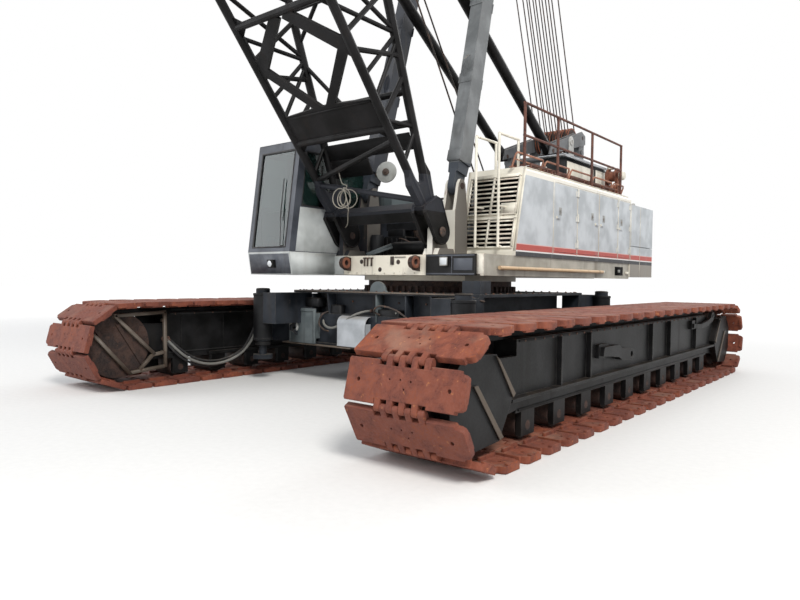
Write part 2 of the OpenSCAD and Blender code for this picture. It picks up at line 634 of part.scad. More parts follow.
// Corner of the lattice: side across, side in depth, height
function corner(sx, sy, z) = [sx * half_x(z), sy * half_y(z), z];

// Cast joint where a chord changes its direction
module knot(sx, sy, z) {
    translate(corner(sx, sy, z) - [0, 0, 70]) cylinder(h = 140, d = chord_w + 36, $fn = 10);
}

// Zigzag lacing on all four faces over a table of heights
module lacing(heights, d, off) {
    for (i = [0:len(heights) - 2]) {
        z0 = heights[i] + off;
        z1 = heights[i + 1] - off;
        flip = i % 2 == 0 ? 1 : -1;
        for (s = [-1, 1]) {
            tube(corner(flip, s, z0), corner(-flip, s, z1), d, 8);
            tube(corner(s, flip, z0), corner(s, -flip, z1), d, 8);
        }
    }
}

// First section of the boom: feet, tapered part and the first straight bays
module boom_butt() {
    upper = butt_l - butt_knee;
    heights = [0.635 * butt_knee, 0.828 * butt_knee, butt_knee, butt_knee + 0.382 * upper,
        butt_knee + 0.686 * upper, butt_l - 20];
    color([0.13, 0.12, 0.12]) on_boom() {
        difference() {
            union() {
                for (sx = [-1, 1], sy = [-1, 1]) {
                    tube(corner(sx, sy, 420), corner(sx, sy, butt_knee - 5), chord_w, 12);
                    tube(corner(sx, sy, butt_knee + 5), corner(sx, sy, butt_l), chord_w, 12);
                    knot(sx, sy, butt_knee);
                }
                // forked feet with round ends, and the forked web that spreads to the two chords
                for (sx = [-1, 1], s = [-1, 1]) {
                    x = sx * boom_w / 2 + s * 102;
                    cyl_x(x - 23, x + 23, 0, 0, 360);
                    side_plate(x - 23, x + 23, [[-179, 0], [179, 0], [212, 400], [130, 480], [-130, 480], [-212, 400]]);
                }
                block([120 - foot_x, -95, 215], [foot_x - 120, 105, 415]);
                for (sx = [-1, 1]) {
                    side_plate(sx * boom_w / 2 - 82, sx * boom_w / 2 + 82, [[-140, 330], [140, 330], [190, 470],
                        [-190, 470]]);
                    side_plate(sx * boom_w / 2 - 50, sx * boom_w / 2 + 50, [[-130, 331], [130, 331], [240, 800],
                        [180, 1000], [60, 740], [-60, 740], [-180, 1000], [-240, 800]]);
                }
                // cross tubes, and the deep panel and wide plates of the front face
                for (z = [1610, 3300]) tube(corner(-1, -1, z), corner(1, -1, z), 100, 12);
                for (z = [1500, 3300]) tube(corner(-1, 1, z), corner(1, 1, z), 100, 12);
                tube(corner(-1, -1, 1000), corner(1, -1, 1430), 80, 8);
                tube(corner(-1, -1, 930), corner(1, -1, 520), 80, 8);
                rotate([taper, 0, 0]) translate([0, 22, 0]) rotate([90, 0, 0]) linear_extrude(44) {
                    polygon([[-foot_x, 1655], [foot_x, 1655], [foot_x, 2050], [120, 2100], [-120, 2100], [-foot_x, 2050]]);
                    for (s = [-1, 1]) {
                        polygon([[s * 20, 2080], [s * 190, 2080], [s * foot_x, 2760], [s * foot_x, 2960]]);
                        polygon([[s * foot_x, 2560], [s * foot_x, 2800], [s * 130, 3370], [s * 20, 3270]]);
                    }
                }
                lacing(heights, 70, 110);
                tube(corner(-1, 1, stop_u), corner(1, 1, stop_u), 110, 12);
                for (x = [-stop_x, stop_x], s = [-1, 1])
                    side_plate(x + s * 105 - 15, x + s * 105 + 15, [[boom_w / 2 - 30, stop_u - 180],
                        [stop_v + 50, stop_u - 80], [stop_v + 90, stop_u], [stop_v + 50, stop_u + 80],
                        [boom_w / 2 - 30, stop_u + 180]]);
                for (sx = [-1, 1]) {
                    tube(corner(sx, -1, 1750), corner(sx, 1, 2100), 70, 8);
                    tube(corner(sx, 1, 2350), corner(sx, -1, 2650), 70, 8);
                    tube(corner(sx, -1, 2850), corner(sx, 1, 3150), 70, 8);
                }
            }
            cyl_x(-boom_w, boom_w, 0, 0, 111);
            cyl_x(-stop_x - 130, stop_x + 130, stop_v, stop_u, 81);
        }
    }
}

// Second section of the boom, up to the tip shaft
module boom_top() {
    bays = 8;
    step = (boom_l - 400 - butt_l - 20) / bays;
    heights = [for (i = [0:bays]) butt_l + 20 + i * step];
    color([0.13, 0.12, 0.12]) on_boom() difference() {
        union() {
            for (sx = [-1, 1], sy = [-1, 1]) {
                tube(corner(sx, sy, butt_l), corner(sx, sy, top_knee - 5), chord_w, 12);
                tube(corner(sx, sy, top_knee + 5), corner(sx, sy, boom_l - 400), chord_w, 12);
                knot(sx, sy, top_knee);
            }
            lacing(heights, 70, 110);
            for (s = [-1, 1]) side_plate(s * tip_w / 2 - 40, s * tip_w / 2 + 40, [[-tip_w / 2 - 60, boom_l - 900],
                [tip_w / 2 + 60, boom_l - 500], [tip_w / 2 + 100, boom_l - 20], [tip_w / 2, boom_l + 60],
                [tip_y + 100, boom_l + 150], [tip_y - 120, boom_l + 90], [tip_y - 120, boom_l - 100]]);
            cyl_x(-tip_w / 2, tip_w / 2, 200, boom_l - 200, 140, 32);
        }
        cyl_x(-boom_w, boom_w, tip_y, boom_l, 101);
        cyl_x(-boom_w, boom_w, tip_w / 2 + 20, boom_l - 70, 61);
    }
}

module tip_sheaves() {
    color("sienna") on_boom() {
        cyl_x(-tip_w / 2 - 40, tip_w / 2 + 40, tip_y, boom_l, 100, 32);
        cyl_x(-tip_w / 2 - 55, tip_w / 2 + 55, tip_w / 2 + 20, boom_l - 70, 60, 32);
        for (i = [0:4]) cyl_x(-280 + i * 140 - 35, -280 + i * 140 + 35, tip_y, boom_l, 700);
    }
}

// Hook block on its six rope falls, which hang tangent to the sheaves of the boom tip
module hook_block() {
    shaft = foot + [0, -boom_l * cos(boom_angle) + tip_y * sin(boom_angle),
        boom_l * sin(boom_angle) + tip_y * cos(boom_angle)];
    drop = 750;
    rope = 28;
    lean = asin((350.3 - 210) / drop);
    color([0.75, 0.6, 0.1]) translate(shaft) {
        for (x = [-230, 190]) side_plate(x, x + 40, [[-220, -1000], [220, -1000], [220, -700],
            [80, -480], [-80, -480], [-220, -700]]);
        cyl_x(-230, 230, 0, -drop, 90, 32);
        for (x = [-140, 0, 140]) {
            cyl_x(x - 30, x + 30, 0, -drop, 440);
            for (s = [-1, 1]) tube([x, s * (350.3 + rope / 2) / cos(lean), 0],
                [x, s * (210 + rope / 2) / cos(lean), -drop], rope, 8);
        }
        block([-191, -110, -1100], [191, 110, -999]);
        translate([0, 0, -1180]) cylinder(h = 81, d = 90, $fn = 32);
        translate([0, 0, -1280]) rotate([0, 90, 0]) rotate([0, 0, -90])
            rotate_extrude(angle = 270, $fn = 32) translate([110, 0]) circle(d = 80, $fn = 12);
    }
}

// Places the mast's own upright frame: z runs along the mast, y to its rear
module on_mast() {
    translate(mast_foot) rotate([-(90 - mast_angle), 0, 0]) children();
}
mast_top_x = 640;
function leg_x(z) = mast_x - (mast_x - mast_top_x) * z / mast_l;

module mast() {
    color([0.42, 0.45, 0.48]) on_mast() difference() {
        union() {
            mirrored_x() {
                cyl_x(mast_x - 55, mast_x + 55, 0, 0, 250);
                side_plate(mast_x - 55, mast_x + 55, [[-124, 0], [124, 0], [124, 400], [-124, 400]]);
                side_plate(mast_x - 88, mast_x + 88, [[-118, 190], [118, 190], [138, 351], [-138, 351]]);
                hull() {
                    translate([mast_x - 110, -150, 350]) cube([220, 300, 10]);
                    translate([mast_top_x - 90, -130, mast_l - 10]) cube([180, 260, 10]);
                }
                side_plate(mast_top_x - 50, mast_top_x + 50, [[-130, mast_l - 1], [130, mast_l - 1],
                    [130, mast_l + 120], [60, mast_l + 180], [-60, mast_l + 180], [-130, mast_l + 120]]);
            }
            mirrored_x() side_plate(780, 830, [[-130, 1650], [-240, 1850], [-240, 1930], [-130, 2080]]);
            for (z = [4800, 2400, 400]) cyl_x(-leg_x(mast_l - z), leg_x(mast_l - z), 0, mast_l - z, 160, 32);
        }
        cyl_x(-mast_x - 300, mast_x + 300, 0, 0, 91);
        cyl_x(-mast_x, mast_x, 0, mast_l + 60, 91);
    }
}

module mast_sheaves() {
    color("sienna") on_mast() {
        cyl_x(-mast_top_x - 150, mast_top_x + 150, 0, mast_l + 60, 90, 32);
        for (i = [0:5]) cyl_x(-375 + i * 135, -375 + i * 135 + 75, 0, mast_l + 60, 420);
    }
}

mast_tip = mast_foot + [0, cos(mast_angle) * (mast_l + 60), sin(mast_angle) * (mast_l + 60)];
// Where the main stays meet the boom head
stay_end = foot + [0, -cos(boom_angle) * (boom_l - 70) + sin(boom_angle) * (tip_w / 2 + 20),
    sin(boom_angle) * (boom_l - 70) + cos(boom_angle) * (tip_w / 2 + 20)];

stay_x = mast_top_x + 125;

// Main stays from the mast head to the boom head
module pendants() {
    color([0.25, 0.22, 0.2]) mirrored_x() {
        u = (stay_end - mast_tip) / norm(stay_end - mast_tip);
        tube([stay_x, mast_tip.y, mast_tip.z] + 60 * u, [540, stay_end.y, stay_end.z] - 60 * u, 48, 16);
        difference() {
            cyl_x(stay_x - 20, stay_x + 20, mast_tip.y, mast_tip.z, 190);
            cyl_x(stay_x - 30, stay_x + 30, mast_tip.y, mast_tip.z, 91);
        }
        difference() {
            cyl_x(520, 560, stay_end.y, stay_end.z, 150);
            cyl_x(510, 570, stay_end.y, stay_end.z, 61);
        }
    }
}

module on_stop() {
    translate(stop_base) rotate([90 - stop_angle, 0, 0]) children();
}

module backstop_tubes() {
    color([0.13, 0.13, 0.13]) on_stop() mirrored_x() difference() {
        union() {
            translate([stop_x, 0, 240]) cylinder(h = 4900, d = 180);
            side_plate(stop_x - 60, stop_x + 60, [[-90, -40], [-40, -90], [40, -90], [90, -40], [80, 250], [-80, 250]]);
        }
        translate([stop_x, 0, 320]) cylinder(h = 5900, d = 132);
        cyl_x(stop_x - 80, stop_x + 80, 0, 0, 81);
    }
}

module backstop_rods() {
    color([0.35, 0.3, 0.27]) on_stop() mirrored_x() difference() {
        union() {
            translate([stop_x, 0, stop_len - 5150]) cylinder(h = 4970, d = 130);
            side_plate(stop_x - 50, stop_x + 50, [[-60, stop_len - 200], [60, stop_len - 200], [80, stop_len - 40],
                [70, stop_len + 50], [0, stop_len + 80], [-70, stop_len + 50], [-80, stop_len - 40]]);
        }
        cyl_x(stop_x - 80, stop_x + 80, 0, stop_len, 81);
    }
}

carbody();
slew_ring();
jacks();
track_left();
track_right();
side_frame_left();
side_frame_right();
wheels_left();
wheels_right();
final_drives();
deck_frame();
drum_stands();
pins_and_lugs();
house_left();
house_grille();
side_door_1();
side_door_2();
side_door_3();
side_door_4();
engine_block();
tank_house_right();
counterweight();
roof_rail();
grab_rails();
roof_box();
cab_shell();
cab_glass();
cab_door();
cab_door_glass();
cab_base();
cab_seat();
lamps();
gantry();
bail_sheaves();
front_drum();
rear_drum();
boom_hoist_drum();
boom_butt();
boom_top();
tip_sheaves();
hook_block();
mast();
mast_sheaves();
pendants();
backstop_tubes();
backstop_rods();
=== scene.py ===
# %% [markdown]
# # A crawler crane, dressed
# The CAD model gives every solid of the crane in its right place. This lesson puts real
# surfaces on it: rust, weathered paint, glass, rope, and the small pieces that a solid
# model leaves out. Everything is in metres, X to the machine's left, Y to its rear, Z up.

# %% Load the frame
import json
import math

import bpy
import numpy as np
from mathutils import Matrix, Vector, geometry


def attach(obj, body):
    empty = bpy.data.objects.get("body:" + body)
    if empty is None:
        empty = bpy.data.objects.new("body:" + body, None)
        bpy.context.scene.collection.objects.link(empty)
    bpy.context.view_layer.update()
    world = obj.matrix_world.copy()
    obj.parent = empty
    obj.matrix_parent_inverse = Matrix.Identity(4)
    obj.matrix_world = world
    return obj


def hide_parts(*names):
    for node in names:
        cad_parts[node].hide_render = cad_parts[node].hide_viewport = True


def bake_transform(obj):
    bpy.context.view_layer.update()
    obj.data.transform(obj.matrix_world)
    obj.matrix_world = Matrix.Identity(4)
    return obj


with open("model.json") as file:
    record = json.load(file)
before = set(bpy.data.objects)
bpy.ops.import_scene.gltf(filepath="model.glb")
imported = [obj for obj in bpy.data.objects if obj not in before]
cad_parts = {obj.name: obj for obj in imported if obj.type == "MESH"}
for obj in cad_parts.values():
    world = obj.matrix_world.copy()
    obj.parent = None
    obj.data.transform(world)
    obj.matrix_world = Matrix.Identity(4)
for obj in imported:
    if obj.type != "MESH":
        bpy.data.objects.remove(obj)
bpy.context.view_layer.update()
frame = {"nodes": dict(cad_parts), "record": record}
nodes = frame["nodes"]

# %% [markdown]
# The camera stands low in front of the left track and looks up along the machine. A lens
# of 29 mm on the usual 36 mm sensor shows as much as the photograph does. Its three axes
# are worked out from the heading, the pitch and a small roll, and become matrix columns.

# %% Camera
heading, pitch, roll = (math.radians(a) for a in (39.20, -1.81, 0.67))
spot = Vector((6.264, -8.713, 1.605))
ahead = Vector((-math.sin(heading) * math.cos(pitch), math.cos(heading) * math.cos(pitch), math.sin(pitch)))
level = Vector((math.cos(heading), math.sin(heading), 0))
upright = level.cross(ahead)
right = level * math.cos(roll) + upright * math.sin(roll)
up = upright * math.cos(roll) - level * math.sin(roll)
camera = bpy.data.objects.new("camera", bpy.data.cameras.new("camera"))
sensor_mm, focal_px, photo_px = 36, 646.7, 800
camera.data.sensor_width = sensor_mm
camera.data.lens = sensor_mm * focal_px / photo_px
camera.data.clip_end = 300
camera.matrix_world = Matrix((right, up, -ahead)).transposed().to_4x4()
camera.matrix_world.translation = spot
bpy.context.scene.collection.objects.link(camera)
bpy.context.scene.camera = camera
print("camera at", tuple(spot))

# %% [markdown]
# Every mesh below comes from numpy arrays. A part is a pair: an array of points, and a
# list of face arrays, one for each number of corners. One function joins parts into one
# mesh, and another puts it into the scene with its material and its body.

# %% Meshes from arrays
scene = bpy.context.scene


def joined(parts):
    """Many parts as one: each part's faces are shifted by the number of points before it."""
    points, faces, base = [], [], 0
    for p, fs in parts:
        p = np.asarray(p, float).reshape(-1, 3)
        points.append(p)
        faces += [np.asarray(f) + base for f in fs]
        base += len(p)
    return np.vstack(points), faces


def mesh_of(name, part):
    """A mesh from points and face arrays, filled with foreach_set."""
    points, faces = part
    corners = np.concatenate([f.ravel() for f in faces]).astype(np.int32)
    sizes = np.concatenate([np.full(len(f), f.shape[1]) for f in faces]).astype(np.int32)
    mesh = bpy.data.meshes.new(name)
    mesh.vertices.add(len(points))
    mesh.vertices.foreach_set("co", points.ravel().astype(np.float32))
    mesh.loops.add(len(corners))
    mesh.loops.foreach_set("vertex_index", corners)
    mesh.polygons.add(len(sizes))
    mesh.polygons.foreach_set("loop_start", (np.cumsum(sizes) - sizes).astype(np.int32))
    mesh.update(calc_edges=True)
    mesh.validate()
    return mesh


def piece(name, parts, material, body, smooth=None):
    """A finished piece: its parts joined, its material, and the body it rides on, if it is on one only.

    Where smooth is an angle in degrees, edges flatter than that are shaded round."""
    obj = bpy.data.objects.new(name, mesh_of(name, joined(parts)))
    obj.data.materials.append(material)
    scene.collection.objects.link(obj)
    if smooth:
        obj.data.shade_smooth()
        obj.data.set_sharp_from_angle(angle=math.radians(smooth))
    if body:
        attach(obj, body)
    made[name] = len(obj.data.polygons)
    return obj


made = {}


def rotation(axis_x, axis_y, axis_z):
    """The matrix whose columns are the three axes."""
    return np.stack([axis_x, axis_y, axis_z], axis=-1)


def unit(v):
    """v divided by its length, along the last axis."""
    return v / np.linalg.norm(v, axis=-1, keepdims=True)


X, Y, Z = np.eye(3)
side_plane = rotation(Y, Z, X)
front_plane = rotation(X, Z, -Y)
print("outlines in", "y and z are pushed along x, those in x and z towards the front")


# %% [markdown]
# Most pieces are one of a few surfaces: a grid of quads over two parameters, a tube round
# a path, a turned profile, an outline pushed along an axis, or a small prism such as a
# bolt head. Each is worked out for all of its points at once.

# %% Surfaces over two parameters
def grid_quads(n, m, wrap_n=False, wrap_m=False):
    """Quads of an n by m grid of points, closed along either side where asked."""
    i = np.arange(n if wrap_n else n - 1)
    j = np.arange(m if wrap_m else m - 1)
    i, j = (a.ravel() for a in np.meshgrid(i, j, indexing="ij"))
    i1, j1 = (i + 1) % n, (j + 1) % m
    return np.stack([i * m + j, i1 * m + j, i1 * m + j1, i * m + j1], axis=1)


def tube(path, radius, sides=10):
    """A round tube: each ring is centre + radius (cos t A + sin t B), with A and B square to the path.

    A comes from the path's own plane, carried along by taking its part along the path away."""
    path = np.asarray(path, float)
    t = unit(np.gradient(path, axis=0))
    flat = np.linalg.svd(path - path.mean(0) + 1e-9)[2][2]
    a = unit(np.cross(t, flat + 1e-4))
    b = np.cross(t, a)
    angle = np.linspace(0, 2 * np.pi, sides, endpoint=False)
    ring = np.cos(angle)[None, :, None] * a[:, None] + np.sin(angle)[None, :, None] * b[:, None]
    rings = path[:, None] + radius * ring
    n = len(path)
    side = grid_quads(n, sides, wrap_m=True)
    first = np.arange(sides)[None]
    return rings.reshape(-1, 3), [side, first, (n - 1) * sides + first[:, ::-1]]


def turned(profile, centre, axis, sides=32):
    """A profile of (radius, height) pairs turned about an axis; both ends are closed by a flat disc."""
    profile = np.asarray(profile, float)
    axis = unit(np.asarray(axis, float))
    a = unit(np.cross(axis, [0.3, 0.5, 0.8]))
    b = np.cross(axis, a)
    angle = np.linspace(0, 2 * np.pi, sides, endpoint=False)
    ring = np.cos(angle)[:, None] * a + np.sin(angle)[:, None] * b
    radius, along = profile[:, 0, None, None], profile[:, 1, None, None]
    points = radius * ring[None] + along * axis + np.asarray(centre, float)
    n = len(profile)
    first = np.arange(sides)[None]
    return points.reshape(-1, 3), [grid_quads(n, sides, wrap_m=True)[:, ::-1], first[:, ::-1],
                                   (n - 1) * sides + first]


def open_ring(profile, centre, axis, sides=32):
    """A closed profile turned about an axis, so that it has a hole and needs no discs at its ends."""
    points, faces = turned(profile, centre, axis, sides)
    return points, faces[:1]


def pushed(outline, low, high, frame_axes=None, at=(0, 0, 0), chamfer=0.0):
    """A flat outline (counter-clockwise, in a and b) pushed along c from low to high.

    With a chamfer, the outline at both ends is drawn in towards its middle by that much."""
    outline = np.asarray(outline, float)
    n = len(outline)
    inward = -chamfer * unit(outline - outline.mean(0))
    levels = [(low, 0), (high, 0)]
    if chamfer:
        levels = [(low, 1), (low + chamfer, 0), (high - chamfer, 0), (high, 1)]
    points = np.array([np.column_stack([outline + k * inward, np.full(n, c)]) for c, k in levels])
    m = np.eye(3) if frame_axes is None else np.asarray(frame_axes, float)
    points = points.reshape(-1, 3) @ m.T + np.asarray(at, float)
    ring = np.arange(n)[None]
    side = grid_quads(len(levels), n, wrap_m=True)[:, ::-1]
    return points, [side, ring[:, ::-1], (len(levels) - 1) * n + ring]


def octagon(w, h, c):
    """A rectangle from -w to w and from -h to h, each corner cut off by c."""
    return [(w - c, -h), (w, c - h), (w, h - c), (w - c, h),
            (c - w, h), (-w, h - c), (-w, c - h), (c - w, -h)]


def bar(a, b, up=(0, 0, 1), width=0.05, height=0.05, chamfer=0.004):
    """A square bar from a to b with small chamfers along its four edges."""
    a, b = np.asarray(a, float), np.asarray(b, float)
    z = unit(b - a)
    x = unit(np.cross(np.asarray(up, float), z))
    y = np.cross(z, x)
    outline = octagon(width / 2, height / 2, chamfer)
    return pushed(outline, 0, np.linalg.norm(b - a), rotation(x, y, z), a)


def box(low, high, chamfer=0.004):
    """An upright box with all edges eased."""
    low, high = np.asarray(low, float), np.asarray(high, float)
    w, d = (high - low)[:2] / 2
    c = min(chamfer, w / 3, d / 3)
    middle = [(low[0] + high[0]) / 2, (low[1] + high[1]) / 2, 0]
    return pushed(octagon(w, d, c), low[2], high[2], None, middle, c)


def boxes(*rows):
    """Several upright boxes: each row is the low corner, the high corner and, if not 4 mm, the chamfer."""
    return [box(r[:3], r[3:6], *r[6:]) for r in rows]


def row(start, end, count):
    """Places at even steps on the straight line from start to end."""
    return np.linspace(start, end, count)


def heads(centres, axis, radius=0.018, height=0.014, sides=6):
    """Bolt heads at many centres at once, pointing along axis: each is a prism with a domed top."""
    centres = np.asarray(centres, float).reshape(-1, 3)
    axis = unit(np.asarray(axis, float))
    a = unit(np.cross(axis, [0.31, 0.52, 0.79]))
    b = np.cross(axis, a)
    angle = np.linspace(0, 2 * np.pi, sides, endpoint=False)
    ring = np.cos(angle)[:, None] * a + np.sin(angle)[:, None] * b
    rings = np.stack([ring * radius - axis * 0.003, ring * radius + axis * height * 0.75,
                      ring * radius * 0.8 + axis * height])
    one = rings.reshape(-1, 3)
    points = (centres[:, None] + one[None]).reshape(-1, 3)
    shift = (np.arange(len(centres)) * len(one))[:, None, None]
    side = grid_quads(3, sides, wrap_m=True)[:, ::-1]
    cap = 2 * sides + np.arange(sides)[None]
    foot = np.arange(sides)[None, ::-1]
    return points, [(side[None] + shift).reshape(-1, 4), (cap[None] + shift).reshape(-1, sides),
                    (foot[None] + shift).reshape(-1, sides)]


# %% [markdown]
# A recipe for a surface is easier to read as arithmetic than as boxes and wires. The
# small class below holds one output of a node. Adding or multiplying two of them makes the
# Math node that does it, and one method makes any other node.

# %% Node arithmetic
class Wire:
    """One output in a node tree; arithmetic on it adds Math nodes."""

    def __init__(self, tree, socket):
        self.tree, self.socket = tree, socket

    def node(self, kind, settings=None, inputs=None, out=0):
        """Any node: its type, its settings, then its inputs by name or number."""
        made_node = self.tree.nodes.new(kind)
        for key, value in (settings or {}).items():
            setattr(made_node, key, value)
        for key, value in (inputs or {}).items():
            if isinstance(value, Wire):
                self.tree.links.new(value.socket, made_node.inputs[key])
            else:
                made_node.inputs[key].default_value = value
        return Wire(self.tree, made_node.outputs[out])

    def math(self, what, *others):
        """A Math node of the named operation, with this wire as its first input."""
        return self.node("ShaderNodeMath", {"operation": what}, dict(enumerate((self,) + others)))

    def __add__(self, other): return self.math("ADD", other)
    def __radd__(self, other): return self.math("ADD", other)
    def __mul__(self, other): return self.math("MULTIPLY", other)
    def __rmul__(self, other): return self.math("MULTIPLY", other)
    def __sub__(self, other): return self.math("SUBTRACT", other)
    def __truediv__(self, other): return self.math("DIVIDE", other)
    def __pow__(self, other): return self.math("POWER", other)
    def __gt__(self, other): return self.math("GREATER_THAN", other)
    def __lt__(self, other): return self.math("LESS_THAN", other)
    def __neg__(self): return self.math("MULTIPLY", -1.0)

    def __rsub__(self, other):
        return self.node("ShaderNodeMath", {"operation": "SUBTRACT"}, {0: other, 1: self})

    def __rtruediv__(self, other):
        return self.node("ShaderNodeMath", {"operation": "DIVIDE"}, {0: other, 1: self})

    def ramp(self, low, high, to_low=0.0, to_high=1.0):
        """Smooth step: to_low below low, to_high above high, an S curve in between."""
        return self.node("ShaderNodeMapRange", {"interpolation_type": "SMOOTHSTEP"},
                         {0: self, 1: low, 2: high, 3: to_low, 4: to_high})

    def mixed(self, a, b):
        """Colour a where this is 0 and colour b where it is 1."""
        return self.node("ShaderNodeMix", {"data_type": "RGBA"}, {0: self, 6: a, 7: b}, out=2)

    def parts(self):
        """The x, y and z of a vector as three wires."""
        cut = self.tree.nodes.new("ShaderNodeSeparateXYZ")
        self.tree.links.new(self.socket, cut.inputs[0])
        return [Wire(self.tree, o) for o in cut.outputs]


def paint(r, g, b):
    """A colour from 0 to 255, turned to linear light: a straight foot, then a power of 2.4."""
    v = np.array([r, g, b]) / 255
    return tuple(np.where(v <= 0.04045, v / 12.92, ((v + 0.055) / 1.055) ** 2.4)) + (1.0,)


# %% [markdown]
# Weathering on a machine follows a few rules. Rain draws thin stains straight down, dust
# settles on what faces up, paint chips first along edges, and rust comes through where
# it has chipped. The class below offers each of these as a mask between 0 and 1.

# %% Weathering masks
class Surface:
    """A new material, its object coordinates, and the masks that every finish here shares."""

    def __init__(self, name, edge=0.006):
        self.material = bpy.data.materials.new(name)
        self.material.use_nodes = True
        self.tree = self.material.node_tree
        self.shader = self.tree.nodes["Principled BSDF"]
        where = self.tree.nodes.new("ShaderNodeTexCoord")
        self.at = Wire(self.tree, where.outputs["Object"])
        self.facing = Wire(self.tree, where.outputs["Normal"])
        self.uv = Wire(self.tree, where.outputs["UV"])
        self.x, self.y, self.z = self.at.parts()
        self.edge_radius = edge

    def scaled(self, x, y, z):
        """The place with each axis stretched, so that a pattern on it is long or short that way."""
        return self.at.node("ShaderNodeVectorMath", {"operation": "MULTIPLY"}, {0: self.at, 1: (x, y, z)})

    def noise(self, scale, detail=4.0, rough=0.55, at=None, bend=0.0):
        """A cloudy noise from 0 to 1: a higher scale is finer, bend folds it."""
        return self.at.node("ShaderNodeTexNoise", {},
                            {"Vector": at or self.at, "Scale": scale, "Detail": detail, "Roughness": rough,
                             "Distortion": bend})

    def streaks(self, scale=6.0, long=0.07):
        """Thin stains that run down: noise with its height squeezed, times a patchy mask."""
        lines = self.noise(scale, 3.0, 0.6, self.scaled(1, 1, long)).ramp(0.52, 0.72)
        return lines * self.noise(1.1, 2.0).ramp(0.38, 0.62)

    def upward(self):
        """How much the surface faces the sky."""
        return self.facing.parts()[2].ramp(0.45, 0.85)

    def worn(self, radius=0.012):
        """Edges: one minus the dot product of the rounded and the true normal, broken up by noise."""
        soft = self.at.node("ShaderNodeBevel", {"samples": 4}, {"Radius": radius})
        true = self.at.node("ShaderNodeNewGeometry", {}, {}, out=1)
        off = 1.0 - soft.node("ShaderNodeVectorMath", {"operation": "DOT_PRODUCT"}, {0: soft, 1: true}, out=1)
        return (off * self.noise(9.0, 4.0).ramp(0.35, 0.6)).ramp(0.02, 0.16)

    def finish(self, colour, rough, metal=0.0, height=None, depth=0.002, coat=0.0, **constants):
        """Puts colour, roughness, metal and relief on the shader; the rest are constants of its sockets."""
        for key, value in {"Base Color": colour, "Roughness": rough, "Metallic": metal}.items():
            if isinstance(value, Wire):
                self.tree.links.new(value.socket, self.shader.inputs[key])
            else:
                self.shader.inputs[key].default_value = value
        self.shader.inputs["Coat Weight"].default_value = coat
        for key, value in constants.items():
            self.shader.inputs[key.replace("_", " ")].default_value = value
        if height is not None:
            soft = self.at.node("ShaderNodeBevel", {"samples": 4}, {"Radius": self.edge_radius})
            bump = self.at.node("ShaderNodeBump", {}, {"Strength": 0.6, "Distance": depth, "Height": height,
                                                       "Normal": soft})
            self.tree.links.new(bump.socket, self.shader.inputs["Normal"])
        return self.material


# %% [markdown]
# Bare cast steel that has stood outside for years is never one brown. Dark scale lies
# under red-brown rust, fresh orange shows in patches and pits, and pale dust gathers in the
# hollows. Four noises at four scales give that, and each shoe gets its own tone.

# %% Rust
def rusted(name, base=(116, 66, 52), fresh=(160, 88, 52), scale_dark=(66, 42, 38), shift=0.0, tone=False,
           specks=1.0):
    """Rusted steel: each mix is tint = (1 - mask) * tint + mask * other, from broad patches to dots."""
    s = Surface(name)
    broad = s.noise(1.7 + shift, 3.0)
    patch = s.noise(7.0, 5.0, 0.62, bend=0.6)
    fine = s.noise(48.0, 5.0, 0.7)
    grain = s.noise(190.0, 3.0, 0.7)
    colour = patch.ramp(0.40, 0.62).mixed(paint(*base), paint(base[0] + 22, base[1] + 16, base[2] + 12))
    colour = (broad.ramp(0.50, 0.68) * fine.ramp(0.42, 0.62)).mixed(colour, paint(*fresh))
    colour = (patch.ramp(0.36, 0.50, 1.0, 0.0) * fine.ramp(0.45, 0.6)).mixed(colour, paint(*scale_dark))
    dots = s.noise(22.0, 2.0, 0.5).ramp(0.66, 0.74) * grain.ramp(0.4, 0.6) * specks
    colour = dots.mixed(colour, paint(188, 120, 70))
    colour = (s.upward() * s.noise(3.0, 4.0).ramp(0.45, 0.7) * 0.35).mixed(colour, paint(166, 140, 120))
    if tone:
        own = s.at.node("ShaderNodeAttribute", {"attribute_name": "tone"}, {}, out=2)
        colour = own.mixed(colour, paint(96, 52, 44))
    height = fine * 0.6 + grain * 0.25 + patch * 0.8
    return s.finish(colour, fine.ramp(0.3, 0.7, 0.66, 0.92), 0.0, height, 0.004)


# %% [markdown]
# Painted panels: the colour itself drifts a little, grey-brown rain stains run down from
# the edges, dust lies on top faces, and rust shows on worn edges and in a few blisters.
# A stripe along the house is part of the paint, so it is chosen by height alone.

